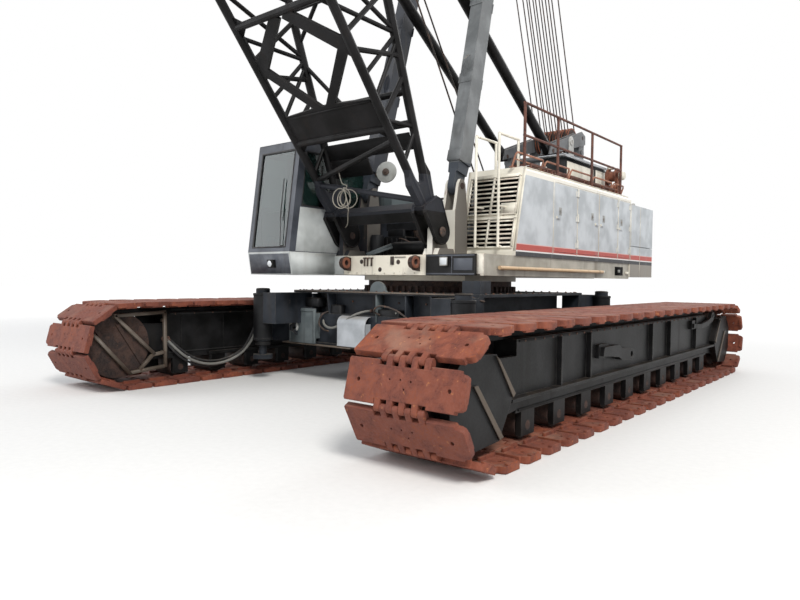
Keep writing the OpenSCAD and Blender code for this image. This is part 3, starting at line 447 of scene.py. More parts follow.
# %% Weathered paint
def painted(name, colour, stain=(96, 88, 78), dust=(150, 138, 120), rust=(120, 66, 40), amount=0.5,
            gloss=0.42, dusting=0.5, streak=0.6, edge_colour=None, stripe=None, rust_streak=0.0, zones=(),
            **constants):
    """Old paint: tint = (1 - mask) * tint + mask * other, for stains, dust, rust runs, then chips and edges.

    A mask is a noise cut by a ramp, times the amount asked for. Chips and worn edges use the larger one."""
    s = Surface(name)
    patch = s.noise(2.3, 4.0)
    fine = s.noise(40.0, 4.0, 0.65)
    blotch = s.noise(11.0, 5.0, 0.68, bend=0.4)
    pale = tuple(min(255, v + 12) for v in colour)
    deep = tuple(max(0, v - 16) for v in colour)
    tint = patch.ramp(0.35, 0.65).mixed(paint(*deep), paint(*pale))
    # A zone puts another colour where its mask is 1: another paint, or in some materials painted shade.
    for where, other in zones:
        tint = where(s).mixed(tint, paint(*other))
    if stripe:
        for low, high, band in stripe:
            mask = (s.z > low) * (s.z < high) * (s.facing.parts()[1] > -0.6)
            tint = mask.mixed(tint, paint(*band))
    tint = (s.streaks() * streak).mixed(tint, paint(*stain))
    tint = (blotch.ramp(0.60, 0.74) * amount * 0.6).mixed(tint, paint(*stain))
    tint = (s.upward() * s.noise(5.0, 4.0).ramp(0.3, 0.65) * dusting).mixed(tint, paint(*dust))
    if rust_streak:
        lines_down = s.noise(9.0, 2.0, 0.6, s.scaled(1, 1, 0.045)).ramp(0.63, 0.74)
        run = lines_down * s.noise(2.2, 2.0).ramp(0.5, 0.62)
        tint = (run * rust_streak).mixed(tint, paint(*rust))
    chips = (blotch.ramp(0.69, 0.72) * fine.ramp(0.45, 0.6)) * amount
    edges = s.worn() * amount
    tint = edges.math("MAXIMUM", chips).mixed(tint, paint(*(edge_colour or rust)))
    rough = (gloss + fine * 0.18 + chips * 0.3 + s.streaks() * 0.12)
    return s.finish(tint, rough, 0.0, fine * 0.25 + blotch * 0.6 - chips * 0.8, 0.0022, **constants)


# %% [markdown]
# Glass is a tinted, slightly dusty pane. The tint and the clearness are constants of the
# shader, and only the roughness varies, where dust and rain spots lie.

# %% Glass, rubber, rope and small finishes
def pane(name, tint=(150, 178, 172)):
    """Glass: roughness = spots * 0.16 + film * 0.12 + 0.03, so only the dust on it is dull."""
    s = Surface(name)
    spots = s.noise(30.0, 4.0, 0.7).ramp(0.52, 0.75)
    film = s.noise(2.0, 3.0).ramp(0.35, 0.8)
    return s.finish(paint(*tint), spots * 0.16 + film * 0.12 + 0.03, Transmission_Weight=0.9, IOR=1.45)


def rubber(name, colour=(34, 34, 36), dust=(104, 98, 88)):
    """Hose rubber: nearly black, with dust on top and a fine pebble."""
    s = Surface(name)
    fine = s.noise(90.0, 3.0)
    dusty = s.upward() * 0.5 + s.noise(14.0, 4.0).ramp(0.5, 0.75) * 0.35
    return s.finish(dusty.mixed(paint(*colour), paint(*dust)), fine * 0.2 + 0.5, 0.0, fine, 0.0008)


def wire_rope(name):
    """Wire rope: six strands laid as a screw, a wave over the rope's own length and turn."""
    s = Surface(name)
    u, v, _ = s.uv.parts()
    lay = ((u * 6.0 + v * 22.0) * (2 * math.pi)).math("SINE") * 0.5 + 0.5
    worn = s.noise(7.0, 4.0).ramp(0.42, 0.66)
    tint = worn.mixed(paint(48, 44, 42), paint(74, 56, 46))
    tint = (lay.ramp(0.0, 0.45, 1.0, 0.0) * 0.6).mixed(tint, paint(26, 22, 20))
    return s.finish(tint, 0.72 - lay * 0.2, 0.25, lay, 0.003)


def plain_metal(name, colour, rough=0.35, metal=0.9):
    """Bare metal with scratches and a little tarnish."""
    s = Surface(name)
    scratch = s.noise(60.0, 3.0, 0.6, s.scaled(1, 8, 1))
    tarnish = s.noise(12.0, 4.0).ramp(0.4, 0.7)
    tint = tarnish.mixed(paint(*colour), paint(*[int(v * 0.7) for v in colour]))
    return s.finish(tint, scratch * 0.25 + tarnish * 0.2 + rough, metal, scratch, 0.0006)


def lens(name, colour):
    """A lamp's lens: moulded ribs across it, clear and a little dusty."""
    s = Surface(name)
    ribs = (s.x * 300.0).math("SINE") * 0.5 + 0.5
    dull = s.noise(30.0, 4.0).ramp(0.4, 0.8, 0.08, 0.4)
    return s.finish(paint(*colour), dull, 0.0, ribs, 0.002, coat=0.5)


def fabric(name, colour):
    """Seat cloth: a fine weave of two crossing waves over wide soft stains."""
    s = Surface(name)
    weave = (s.x * 900.0).math("SINE") * (s.y * 900.0).math("SINE") * (s.z * 900.0).math("COSINE")
    stain = s.noise(9.0, 4.0).ramp(0.4, 0.7)
    tint = stain.mixed(paint(*colour), paint(*[int(v * 0.72) for v in colour]))
    return s.finish(tint, weave * 0.08 + 0.85, 0.0, weave, 0.0006, Sheen_Weight=0.3)


# %% [markdown]
# Each kind of paint on the machine is one recipe with its own colours. The front of the
# house is cream, its sides a cold pale grey, the boom black under brown dust, the side
# frames black, and the middle of the undercarriage a dark blue-grey. A zone is a rule for
# places that have another colour. Some colours are painted shade: the deck's far pylon and
# the pylon's side face, the far half of the mast, and the side frames' black, which is
# pushed darker than the paint for the shade under the tracks' upper runs.

# %% The machine's finishes
bands = [(1.955, 2.022, (38, 38, 42)), (2.022, 2.042, (226, 226, 222)), (2.042, 2.128, (176, 72, 62)),
         (2.128, 2.140, (214, 170, 164))]
shoe_rust = rusted("shoe_rust", (110, 54, 36), (150, 78, 42), (86, 46, 36), tone=True)
shoe_rust_plain = rusted("pin_rust", (122, 70, 50), (170, 112, 78), (84, 54, 44), shift=0.5)
wheel_rust = rusted("wheel_rust", (44, 31, 27), (60, 40, 32), (30, 24, 23), shift=0.4, specks=0.1)
foot_rust = rusted("foot_rail_rust", (142, 100, 82), (160, 112, 86), (104, 70, 58), shift=0.3, specks=0.3)
old_rail = rusted("old_rail_rust", (80, 50, 42), (104, 62, 48), (54, 38, 34), shift=0.8, specks=0.2)
eye_rust = rusted("eye_rust", (150, 116, 92), (196, 176, 150), (92, 60, 46), shift=0.6)
rail_rust = rusted("rail_rust", (112, 68, 52), (142, 86, 60), (70, 44, 38), shift=0.9)
cream = painted("cream_paint", (228, 223, 208), (128, 112, 92), amount=0.45, rust_streak=0.6)
raked_front = lambda s: s.facing.parts()[1] < -0.6
roof_band = lambda s: (s.z > 3.125) * (s.x > 0.0)
below_floor = lambda s: s.z < 1.955
house_side = painted("house_side_paint", (182, 187, 190), (162, 164, 164), amount=0.16, streak=0.3,
                     stripe=bands, dusting=0.2, edge_colour=(206, 206, 200),
                     zones=[(roof_band, (230, 226, 214)), (below_floor, (134, 128, 118)),
                            (raked_front, (230, 225, 210))])
right_house = painted("right_house_paint", (34, 38, 46), (26, 26, 28), (92, 86, 78), amount=0.4, dusting=0.5,
                      edge_colour=(80, 82, 84), zones=[(lambda s: (s.z > 2.76) * (s.y < 0.9), (96, 106, 108)),
                                                       (lambda s: s.x < -1.765, (176, 183, 192))])
panel_grey = painted("panel_grey_paint", (170, 174, 178), (112, 108, 100), amount=0.35, streak=0.5)
# Painted shade: above the deck floor, the far side of the deck frame (its far pylon) is near black for the
# shade it stands in.
far_pylon_shade = lambda s: (s.z > 1.966) * (s.x < 0.60)
near_pylon = lambda s: (s.z > 1.966) * (s.x > 0.60)
front_face = lambda s: (s.facing.parts()[1] < -0.6) * (s.z < 1.966)
# Painted shade: the pylon's face that looks along +x is darker grey for its shadow side.
pylon_side_shade = lambda s: (s.facing.parts()[0] > 0.6) * (s.z > 1.966) * (s.x < 1.0)
deck_paint = painted("deck_paint", (164, 160, 148), (106, 96, 82), amount=0.5, rust_streak=0.7,
                     zones=[(far_pylon_shade, (34, 36, 42)), (near_pylon, (222, 218, 206)),
                            (front_face, (232, 225, 208)), (pylon_side_shade, (104, 100, 94)),
                            (lambda s: (s.x > 1.755) * (s.z < 1.82), (206, 176, 138))])
# Side frame paint: black, pushed darker still as painted shade for the shadow under the tracks' upper runs;
# outer faces brownish.
frame_black_and_shade = painted("frame_dark_paint", (15, 15, 16), (28, 25, 22), (64, 56, 48), (70, 46, 36), amount=0.5,
                     dusting=0.6, edge_colour=(84, 82, 78), Specular_IOR_Level=0.25,
                     zones=[(lambda s: s.x.math("ABSOLUTE") > 3.403, (88, 78, 68))])
carbody_dark = painted("carbody_paint", (36, 40, 46), (54, 50, 46), (100, 92, 80), (84, 54, 40), amount=0.6,
                       dusting=0.6, edge_colour=(104, 100, 94), Specular_IOR_Level=0.25)
boom_foot = lambda s: ((s.z < 3.05) * (s.z > 2.55) * (s.y < -1.05))
boom_black = painted("boom_black_paint", (13, 12, 13), (34, 28, 25), (64, 56, 50), (62, 42, 34), amount=0.4,
                     dusting=0.3, edge_colour=(86, 82, 80), gloss=0.42, zones=[(boom_foot, (42, 44, 50))],
                     Specular_IOR_Level=0.22)
# Mast paint with painted shade: the far half (x below 0) is dark navy for the shade on the far leg, and below
# 3.33 m it is darker blue-grey.
mast_grey_and_shade = painted("mast_paint", (98, 101, 102), (62, 60, 58), (120, 112, 100), (88, 60, 46), amount=0.7,
                    streak=0.8, edge_colour=(60, 58, 58), zones=[(lambda s: s.x < 0.0, (36, 40, 48)),
                                                                 (lambda s: s.z < 3.33, (54, 60, 68))])
gantry_grey = painted("gantry_paint", (82, 84, 86), (58, 52, 48), amount=0.6, rust_streak=0.7,
                      edge_colour=(90, 62, 48))
guard_paint = painted("guard_bar_paint", (96, 86, 76), (64, 54, 46), (130, 116, 98), amount=0.7,
                      rust_streak=0.5, edge_colour=(110, 78, 58))
grey_disc = painted("grey_disc_paint", (150, 152, 148), (96, 90, 82), amount=0.5)
black_box = painted("machinery_paint", (17, 18, 20), (32, 28, 25), (58, 52, 46), amount=0.4,
                    edge_colour=(64, 64, 66), Specular_IOR_Level=0.25)
louvre_dark = painted("louvre_dark_paint", (7, 7, 8), (14, 12, 11), (20, 18, 16), amount=0.2, gloss=0.7,
                      edge_colour=(16, 15, 14), Specular_IOR_Level=0.1)
grey_box = painted("grey_machinery_paint", (84, 92, 94), (50, 46, 42), amount=0.5,
                   edge_colour=(120, 122, 120))
cab_dark = painted("cab_frame_paint", (66, 70, 78), (52, 52, 54), (110, 106, 98), (90, 66, 52), amount=0.35,
                   edge_colour=(110, 112, 116))
cab_panel = painted("cab_panel_paint", (182, 186, 184), (150, 148, 140), amount=0.2, streak=0.3)
cab_inside = painted("cab_inside_paint", (150, 150, 146), (96, 92, 86), amount=0.15, streak=0.2)
engine_paint = painted("engine_paint", (60, 66, 62), (40, 36, 32), amount=0.6)
yellow_paint = painted("hook_paint", (190, 150, 40), (90, 74, 50), amount=0.7, rust_streak=0.6)
drum_steel = rusted("drum_steel", (58, 50, 46), (92, 66, 50), (34, 30, 30), shift=0.7)
cab_pane = pane("cab_pane", (74, 96, 92))
hose_rubber = rubber("hose_rubber")
pale_hose = rubber("pale_hose", (112, 112, 108), (150, 146, 136))
rope_steel = wire_rope("rope_steel")
pale_cable = rubber("pale_cable", (150, 144, 132), (170, 164, 150))
pale_metal = painted("pale_metal_paint", (172, 172, 168), (110, 100, 90), amount=0.6, rust_streak=0.4)
bright_steel = plain_metal("bright_steel", (168, 166, 160))
dark_bolt = rusted("bolt_rust", (74, 54, 46), (120, 76, 52), (46, 36, 34), shift=0.2)
clear_lens = lens("clear_lens", (214, 218, 220))
red_lens = lens("red_lens", (150, 28, 24))
seat_cloth = fabric("seat_cloth", (62, 60, 60))
print("materials", len(bpy.data.materials))

# %% [markdown]
# The CAD solids keep their shape and only change their slots' materials.

# %% Dress the CAD solids
finishes = {
    "cream": cream, "pale_grey": house_side, "rust": shoe_rust, "rusty_brown": wheel_rust,
    "black_steel": boom_black, "dark_frame": frame_black_and_shade, "mast_grey": mast_grey_and_shade, "cab_grey": cab_dark,
    "glass": cab_pane, "seat_black": seat_cloth, "hook_yellow": yellow_paint, "rope_steel": boom_black,
    "engine_grey": engine_paint}
by_node = {"carbody": carbody_dark, "jacks": carbody_dark, "counterweight": house_side,
           "house_left": house_side, "deck_frame": deck_paint, "roof_rail": old_rail,
           "left_front_eye": eye_rust, "right_front_eye": eye_rust, "front_drum": drum_steel,
           "rear_drum": drum_steel, "boom_hoist_drum": drum_steel, "tank_house_right": right_house,
           "cab_base": cab_panel, "drum_stands": boom_black, "gantry": gantry_grey}
slots = {part["node"]: part["material_slot"] for part in frame["record"]["subparts"]}
for name, obj in nodes.items():
    material = by_node.get(name, finishes[slots[name]])
    for slot in obj.material_slots:
        slot.material = material
print("dressed", len(nodes))


# %% [markdown]
# ## Hoses and cables
# A hose keeps its length and droops between its two fittings. Its line is given by a few
# points it is known to pass, joined by a smooth cubic curve. The drive hoses hang from the
# middle of the undercarriage almost to the ground and climb again to the far track.

# %% Smooth lines through points
def flowing(points, count):
    """A Catmull-Rom curve: the slope at a point is half the step between its neighbours."""
    p = np.asarray(points, float)
    p = np.vstack([2 * p[0] - p[1], p, 2 * p[-1] - p[-2]])
    t = np.linspace(0, len(p) - 3 - 1e-6, count)
    i = t.astype(int)
    u = (t - i)[:, None]
    a, b, c, d = (p[i + k] for k in range(4))
    square, cube = (2 * a - 5 * b + 4 * c - d) * u ** 2, (3 * b - a - 3 * c + d) * u ** 3
    return 0.5 * (2 * b + (c - a) * u + square + cube)


def even(path, count):
    """The same line at even steps of its length, eased by a moving average that keeps both ends."""
    step = np.linalg.norm(np.diff(path, axis=0), axis=1)
    s = np.concatenate([[0], np.cumsum(step)])
    at = np.linspace(0, s[-1], count)
    line = np.stack([np.interp(at, s, path[:, k]) for k in range(3)], 1)
    for _ in range(6):
        line[1:-1] = 0.25 * line[:-2] + 0.5 * line[1:-1] + 0.25 * line[2:]
    return line


def hung(name, points, diameter, material, body):
    """A free hose or cable: a tube along a smooth line through the points, which it returns."""
    line = even(flowing(points, 400), 36)
    obj = piece(name, [tube(line, diameter / 2, 10)], material, body, smooth=60)
    return line


# %% Drive hoses of the far track
hose_points = np.array([(-1.795, -2.06, 1.335), (-1.90, -2.07, 1.27), (-1.99, -2.09, 1.12),
                        (-2.15, -2.11, 0.82), (-2.32, -2.14, 0.52), (-2.52, -2.20, 0.31),
                        (-2.60, -2.42, 0.20), (-2.61, -2.80, 0.20), (-2.62, -3.15, 0.36),
                        (-2.64, -3.33, 0.56), (-2.695, -3.40, 0.66)])
ends = []
for i, (dx, dz) in enumerate([(0.0, 0.0), (0.055, 0.035), (0.012, 0.085)]):
    middle_only = np.sin(np.pi * np.linspace(0, 1, len(hose_points)))
    shift = np.column_stack([dx * middle_only, np.full(len(hose_points), 0.045 * i), dz * middle_only])
    line = hung(f"drive_hose_{i + 1}", hose_points + shift, (0.036, 0.044, 0.036)[i],
                (hose_rubber, pale_hose, hose_rubber)[i], "carbody")
    ends += [line[0], line[-1]]
pale_line = hung("pale_hose_front", [(-1.15, -1.425, 1.02), (-1.15, -1.50, 0.99), (-1.10, -1.60, 0.93),
                                     (-0.97, -1.66, 0.86), (-0.81, -1.68, 0.845), (-0.64, -1.67, 0.91),
                                     (-0.49, -1.66, 1.01), (-0.37, -1.62, 1.08), (-0.27, -1.52, 1.12),
                                     (-0.22, -1.425, 1.13)], 0.036, pale_hose, "carbody")
ends += [pale_line[0], pale_line[-1]]
print("hose ends", len(ends))

# %% [markdown]
# Each end of a hose sits in a crimped steel ferrule: a turned profile with grooves, pushed
# a little over the rubber.

# %% Ferrules
crimp = [(0.0005, -0.035), (0.026, -0.035), (0.026, -0.004), (0.022, 0.0), (0.024, 0.006), (0.022, 0.012),
         (0.024, 0.018), (0.022, 0.024), (0.024, 0.030), (0.021, 0.044), (0.0005, 0.045)]
aims = [(-1, -0.1, -0.4), (1, 0, -1)] * 3 + [(0, -1, -0.3), (0, -1, -0.1)]
piece("hose_ferrules", [turned(crimp, e, a, 14) for e, a in zip(ends, aims)], dark_bolt, "carbody", smooth=40)

# %% [markdown]
# A thin cable was never put away: it hangs from the boom's diagonal brace, is wound four
# times, and drops to the boom's left foot. The loops are ellipses whose width and height
# drift a little from turn to turn, each loop a cable's width in front of the last.

# %% The coiled cable on the boom
thin = 0.015
middle = np.array([-0.270, -1.955, 2.765])
wide = unit(np.array([math.cos(heading), math.sin(heading) * 0.6, 0.0]))
turn = np.linspace(0, 4.0, 76)
swing = 2 * np.pi * turn + np.pi / 2
r_wide = 0.105 + 0.034 * np.sin(turn * 2.1)
r_tall = 0.136 + 0.022 * np.cos(turn * 1.7)
across_loop = np.cos(swing) * r_wide + 0.045 * np.sin(turn * 1.5 + 0.4)
loops = (middle + np.outer(across_loop, wide) + np.outer(np.sin(swing) * r_tall, Z)
         - np.outer(turn * 0.021, Y))
lead_in = flowing([(-0.36, -2.045, 3.205), (-0.352, -2.03, 3.14), (-0.335, -2.01, 3.05),
                   (-0.31, -2.00, 2.97), loops[0] + [-0.03, 0, 0.04], loops[0]], 16)[:-1]
lead_out = flowing([loops[-1], loops[-1] + [0.05, -0.01, -0.06], (-0.16, -2.02, 2.62), (-0.24, -1.95, 2.54),
                    (-0.46, -1.72, 2.42), (-0.76, -1.47, 2.40)], 18)[1:]
cable = np.vstack([lead_in, loops, lead_out])
for _ in range(2):
    cable[1:-1] = 0.25 * cable[:-2] + 0.5 * cable[1:-1] + 0.25 * cable[2:]
coil = piece("coiled_cable", [tube(cable, thin / 2, 8)], pale_cable, "boom", smooth=60)


# %% [markdown]
# ## The tracks
# A track is a chain of fifty cast shoes. Each shoe is a thick plate with holes, cut corners
# and rounded fingers in its middle, which mesh with the next shoe's fingers round a hinge
# pin. One shoe is drawn flat, then fifty copies are laid along the loop as arrays: pin to
# pin, so that shoes on the round ends stand as straight chords, as the real ones do.

# %% The loop of hinge pins
side_x, tumbler_y, axle_z, loop_r = 3.0, 4.12, 0.62, 0.55
shoe_w, shoe_count, pin_r = 1.22, 50, 0.585
loop_len = 4 * tumbler_y + 2 * np.pi * loop_r
pitch = loop_len / shoe_count


def on_loop(s, r):
    """Place (y, z) at length s: along the ground to the rear, half round, back on top, half round.

    On a round part the angle from straight down or up is the length past the straight over loop_r."""
    s = np.mod(s, loop_len)
    arc, run = np.pi * loop_r, 2 * tumbler_y
    turn_rear = np.clip((s - run) / loop_r, 0, np.pi)
    turn_front = np.clip((s - 2 * run - arc) / loop_r, 0, np.pi)
    where = [s < run, s < run + arc, s < 2 * run + arc]
    y = np.select(where, [s - tumbler_y, tumbler_y + r * np.sin(turn_rear), tumbler_y - (s - run - arc)],
                  -tumbler_y - r * np.sin(turn_front))
    z = np.select(where, [-r, -r * np.cos(turn_rear), r], r * np.cos(turn_front)) + axle_z
    return np.stack([y, z], axis=-1)


pins = on_loop(np.arange(shoe_count) * pitch, pin_r)
print("pins", len(pins), "pitch", round(pitch, 4))

# %% [markdown]
# The plate of the shoe has holes in it. Blender's own tessellator cuts a flat outline with
# holes into triangles, and walls are then raised along the outline and round each hole.

# %% A plate with holes
def drawn_in(outline, by):
    """The outline moved in: a corner goes along its edges' mean normal, over the cosine of half the turn."""
    e = unit(np.roll(outline, -1, axis=0) - outline)
    normal = np.stack([-e[:, 1], e[:, 0]], axis=1)
    both = unit(normal + np.roll(normal, 1, axis=0))
    stretch = 1 / np.clip((both * normal).sum(1), 0.5, 1)
    return outline + by * both * stretch[:, None]


def pierced(outline, holes, low, high, chamfer=0.005):
    """A plate from low to high with round holes (a, b, radius) and a chamfer round its upper edge."""
    outline = np.asarray(outline, float)
    hole_sides = 8
    angle = np.linspace(0, 2 * np.pi, hole_sides + 1)[:-1]
    rings = [np.column_stack([a + r * np.cos(angle), b + r * np.sin(angle)]) for a, b, r in holes]
    n = len(outline)
    top_edge = drawn_in(outline, chamfer)
    flat = lambda ring, c: np.column_stack([ring, np.full(len(ring), c)])
    points = [flat(outline, low), flat(outline, high - chamfer), flat(top_edge, high)]
    faces = [grid_quads(3, n, wrap_m=True)[:, ::-1]]
    starts = 3 * n + 2 * hole_sides * np.arange(len(rings))
    for ring, start in zip(rings, starts):
        points += [flat(ring, low), flat(ring, high)]
        faces.append(grid_quads(2, hole_sides, wrap_m=True) + start)
    for first, ring0, flip in ((2 * n, top_edge, False), (0, outline, True)):
        loops = [[Vector((*p, 0)) for p in ring] for ring in [ring0] + rings]
        hole_points = [s + (0 if flip else hole_sides) + np.arange(hole_sides) for s in starts]
        index = np.concatenate([first + np.arange(n)] + hole_points)
        cut = np.array(geometry.tessellate_polygon(loops))
        tri = index[cut]
        flatp = np.concatenate([ring0] + rings)[cut]
        turn = np.cross(flatp[:, 1] - flatp[:, 0], flatp[:, 2] - flatp[:, 0])
        wrong = (turn < 0) != flip
        tri[wrong] = tri[wrong][:, ::-1]
        faces.append(tri)
    return np.vstack(points), faces


# %% One shoe, drawn flat
def finger(u0, u1, sign):
    """A hinge finger from u0 to u1: half a circle round the pin, then straight back into the plate."""
    angle = np.linspace(np.pi / 2, 3 * np.pi / 2, 9)
    nose = np.column_stack([0.034 * np.cos(angle), 0.0345 * np.sin(angle)])
    outline = np.vstack([nose, [[0.075, -0.034], [0.075, 0.0345]]])
    if sign < 0:
        outline = np.column_stack([pitch - outline[:, 0], outline[:, 1]])[::-1]
    return pushed(outline, u0, u1, side_plane, (0, 0, 0), 0.004)


def shoe():
    """Across the track is u, along it v from pin to pin, outward w. Fingers fill the middle in turn."""
    g, root, half, lug = 0.019, 0.062, shoe_w / 2, 0.268
    front = [(-half, g + 0.016), (-half + 0.012, g), (-lug, g), (-lug, root), (lug, root), (lug, 0.036),
             (0.532, 0.036), (0.540, 0.058), (0.576, 0.063), (half - 0.008, 0.078), (half, 0.094)]
    outline = np.array(front + [(u, pitch - v) for u, v in reversed(front)])
    holes = [(-0.47, 0.20, 0.019), (0.47, 0.20, 0.019), (-0.13, 0.17, 0.009), (-0.02, 0.165, 0.009),
             (0.09, 0.17, 0.009), (0.03, 0.235, 0.009)]
    width = 2 * (lug - 0.006) / 8
    parts = [pierced(outline, holes, -0.027, 0.035)]
    for k in range(8):
        u0 = -lug + 0.006 + k * width
        parts.append(finger(u0 + 0.0015, u0 + width - 0.0015, 1 if k % 2 else -1))
    parts.append(box((-lug, root + 0.004, -0.035), (lug, pitch - root - 0.004, -0.02)))
    for u in (-0.36, 0.33):
        parts.append(box((u, 0.07, -0.062), (u + 0.03, pitch - 0.07, -0.02), 0.006))
    for u in (-half + 0.004, half - 0.044):
        parts.append(box((u, 0.12, -0.044), (u + 0.04, pitch - 0.12, -0.02), 0.006))
    return joined(parts)


one_shoe, shoe_faces = shoe()
print("one shoe", len(one_shoe), "points")


# %% Fifty shoes on the loop
def track_of(name, cx, body_seed):
    """Each shoe's points: pin + v along the chord + w outward, with u across; a little random tilt for wear.

    The other track is the mirror image, so there u changes its sign and the faces are turned round."""
    hand = 1 if cx > 0 else -1
    rng = np.random.default_rng(body_seed)
    ahead_pin = np.roll(pins, -1, axis=0)
    chord = ahead_pin - pins
    length = np.linalg.norm(chord, axis=1)
    t = chord / length[:, None]
    n = np.column_stack([t[:, 1], -t[:, 0]])
    u, v, w = one_shoe.T
    tilt = rng.normal(0, 0.0016, (shoe_count, 1))
    rise = w[None] + tilt * (v[None] - pitch / 2) * 2 - np.abs(tilt) * 0.4
    along = v[None] * (length / pitch)[:, None]
    yz = pins[:, None] + along[..., None] * t[:, None] + rise[..., None] * n[:, None]
    x = cx + hand * np.broadcast_to(u, (shoe_count, len(u))) + rng.normal(0, 0.002, (shoe_count, 1))
    points = np.concatenate([x[..., None], yz], axis=-1).reshape(-1, 3)
    points[:, 2] = np.maximum(points[:, 2], 0.0)
    shift = (np.arange(shoe_count) * len(one_shoe))[:, None, None]
    faces = [(np.asarray(f)[None] + shift).reshape(-1, np.shape(f)[1])[:, ::hand] for f in shoe_faces]
    obj = piece(name, [(points, faces)], shoe_rust, "carbody", smooth=38)
    tone = np.repeat(rng.uniform(0, 0.55, shoe_count), len(one_shoe)).astype(np.float32)
    obj.data.attributes.new("tone", "FLOAT", "POINT").data.foreach_set("value", tone)
    return obj


for label, sign, seed in (("left", 1, 3), ("right", -1, 8)):
    chain = track_of("shoes_" + label, sign * side_x, seed)
    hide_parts("track_" + label)
print("shoes", made)


# %% [markdown]
# ## The machinery house
# The raked front breathes through two banks of bent slats. A slat is a thin sheet folded
# so that rain runs off outwards. The sheet's section is drawn in the plane across the slat
# and pushed along the bank, and all slats of a bank are the same section moved up the slope.

# %% The raked front's own axes
house_x1, house_y0, house_z0, house_top = 1.77, -0.65, 2.02, 3.25
rake = math.atan(0.28 / 1.23)
slope_up = np.array([0, math.sin(rake), math.cos(rake)])
slope_out = np.array([0, -math.cos(rake), math.sin(rake)])
front_axes = rotation(slope_up, slope_out, X)


def on_front(z):
    """A place on the raked front at height z above the floor of the house."""
    return np.array([0, house_y0 + z * math.tan(rake), house_z0 + z])


# %% Louvres
def louvre_bank(z0, z1, count, x0=0.885, x1=1.690):
    """Slats at even heights, each a folded sheet: an upturn inside, a slope and a lip outside."""
    sheet = 0.0035
    line = np.array([(0.018, 0.004), (0.015, 0.009), (0.004, 0.0225), (-0.014, 0.0225)])
    back = line[::-1] + np.array([(0, -sheet), (-0.001, -sheet), (-0.002, -sheet * 0.6), (0, -sheet)])
    section = np.vstack([line, back])[::-1]
    return [pushed(section, x0, x1, front_axes, on_front(z)) for z in np.linspace(z0, z1, count)]


def front_bar(x0, x1, z0, z1, proud=0.006, deep=0.004):
    """A flat bar lying on the raked front."""
    k = 1 / math.cos(rake)
    return pushed([(0, -deep), ((z1 - z0) * k, -deep), ((z1 - z0) * k, proud), (0, proud)], x0, x1,
                  front_axes, on_front(z0))


slats = louvre_bank(0.125, 0.440, 6) + louvre_bank(0.605, 1.060, 8)
for z0, z1 in ((0.06, 0.480), (0.545, 1.10)):
    slats += [front_bar(x0, x1, z0, z1, 0.026) for x0, x1 in ((0.865, 0.892), (1.683, 1.710), (1.262, 1.290))]
    slats += [front_bar(0.865, 1.710, z - 0.012, z + 0.012, 0.026) for z in (z0, z1)]
slats += [front_bar(0.90, 1.675, 1.10, 1.145, 0.004), front_bar(0.90, 1.675, 0.485, 0.54, 0.005),
          front_bar(1.45, 1.70, 0.55, 0.70, 0.028)]
louvres = piece("house_louvres", slats, cream, "upper")
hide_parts("house_grille")

# %% [markdown]
# Behind the slats stands the radiator: a dark core of fine fins between two tanks. It is
# only seen as darkness with a little relief, so forty thin fins in front of a plate do.

# %% Radiator core, and dark sheets of painted shade behind the slats
# Painted shade: near-black sheets on the raked front behind the slats stand for the darkness there.
louvre_shade_sheets = [front_bar(0.875, 1.70, z0, z1, 0.0035, 0.0) for z0, z1 in ((0.07, 0.255), (0.615, 0.705))]
louvre_shade_sheets += [front_bar(x0, x1, z0, z1, 0.0035, 0.0) for x0, x1 in ((0.875, 0.912), (1.658, 1.70))
                for z0, z1 in ((0.07, 0.475), (0.55, 1.095))]
piece("louvre_shade_backing", louvre_shade_sheets, louvre_dark, "upper")
fins = boxes((0.86, -0.30, 2.16, 1.72, -0.26, 3.12), (0.86, -0.34, 2.10, 1.72, -0.22, 2.18),
             (0.86, -0.34, 3.08, 1.72, -0.22, 3.16))
fins += [box((x, -0.312, 2.18), (x + 0.004, -0.296, 3.09), 0.001) for x in np.linspace(0.875, 1.70, 40)]
piece("radiator_core", fins, louvre_dark, "upper")

# %% [markdown]
# The long side is bolted from panels, so pale sealed seams run down between them. Each
# door has a catch: a square plate with a round dish and a small lever.

# %% Seams, catches and the edge of the roof
seams = [box((house_x1 - 0.001, y - 0.008, 2.03), (house_x1 + 0.004, y + 0.008, 3.17), 0.0015)
         for y in (0.51, 1.39, 2.29, 3.19, 3.822)]
seams += [box((house_x1 - 0.001, y - 0.006, z0), (house_x1 + 0.003, y + 0.006, z1), 0.0015)
          for y, z0, z1 in ((4.38, 1.72, 3.10), (3.87, 2.03, 3.10))]
seam_low, seam_top = house_top - 0.002, house_top + 0.008
seams += boxes((house_x1 - 0.07, -0.35, seam_low, house_x1 - 0.055, 3.83, seam_top, 0.002))
seams += [front_bar(x0, x1, 0.01, 1.225, 0.010) for x0, x1 in ((0.80, 0.83), (1.735, 1.769))]
piece("house_seams", seams, cream, "upper")


def catch(y, z):
    """A square plate with a turned dish on it and a lever across the dish."""
    x = 1.769
    cup = [(0.0005, 0.0005), (0.030, 0.0005), (0.030, 0.005), (0.026, 0.007), (0.020, 0.003), (0.0005, 0.002)]
    return [box((x - 0.001, y - 0.045, z - 0.060), (x + 0.003, y + 0.045, z + 0.060), 0.001),
            turned(cup, (x + 0.003, y, z), X, 24),
            box((x + 0.005, y - 0.024, z - 0.006), (x + 0.017, y + 0.018, z + 0.006), 0.003)]


for door, (y, z) in enumerate(((0.75, 2.70), (2.00, 2.72), (2.50, 2.72), (3.36, 2.72)), 1):
    piece(f"catches_{door}", catch(y, z), grey_disc, f"side_door_{door}", smooth=40)
print("house pieces", {k: v for k, v in made.items() if "house" in k or "catch" in k})

# %% [markdown]
# Bolts, a lifting eye or a bracket every so often are what make a big panel look its
# size. They are placed by short rows of numbers and built all at once.

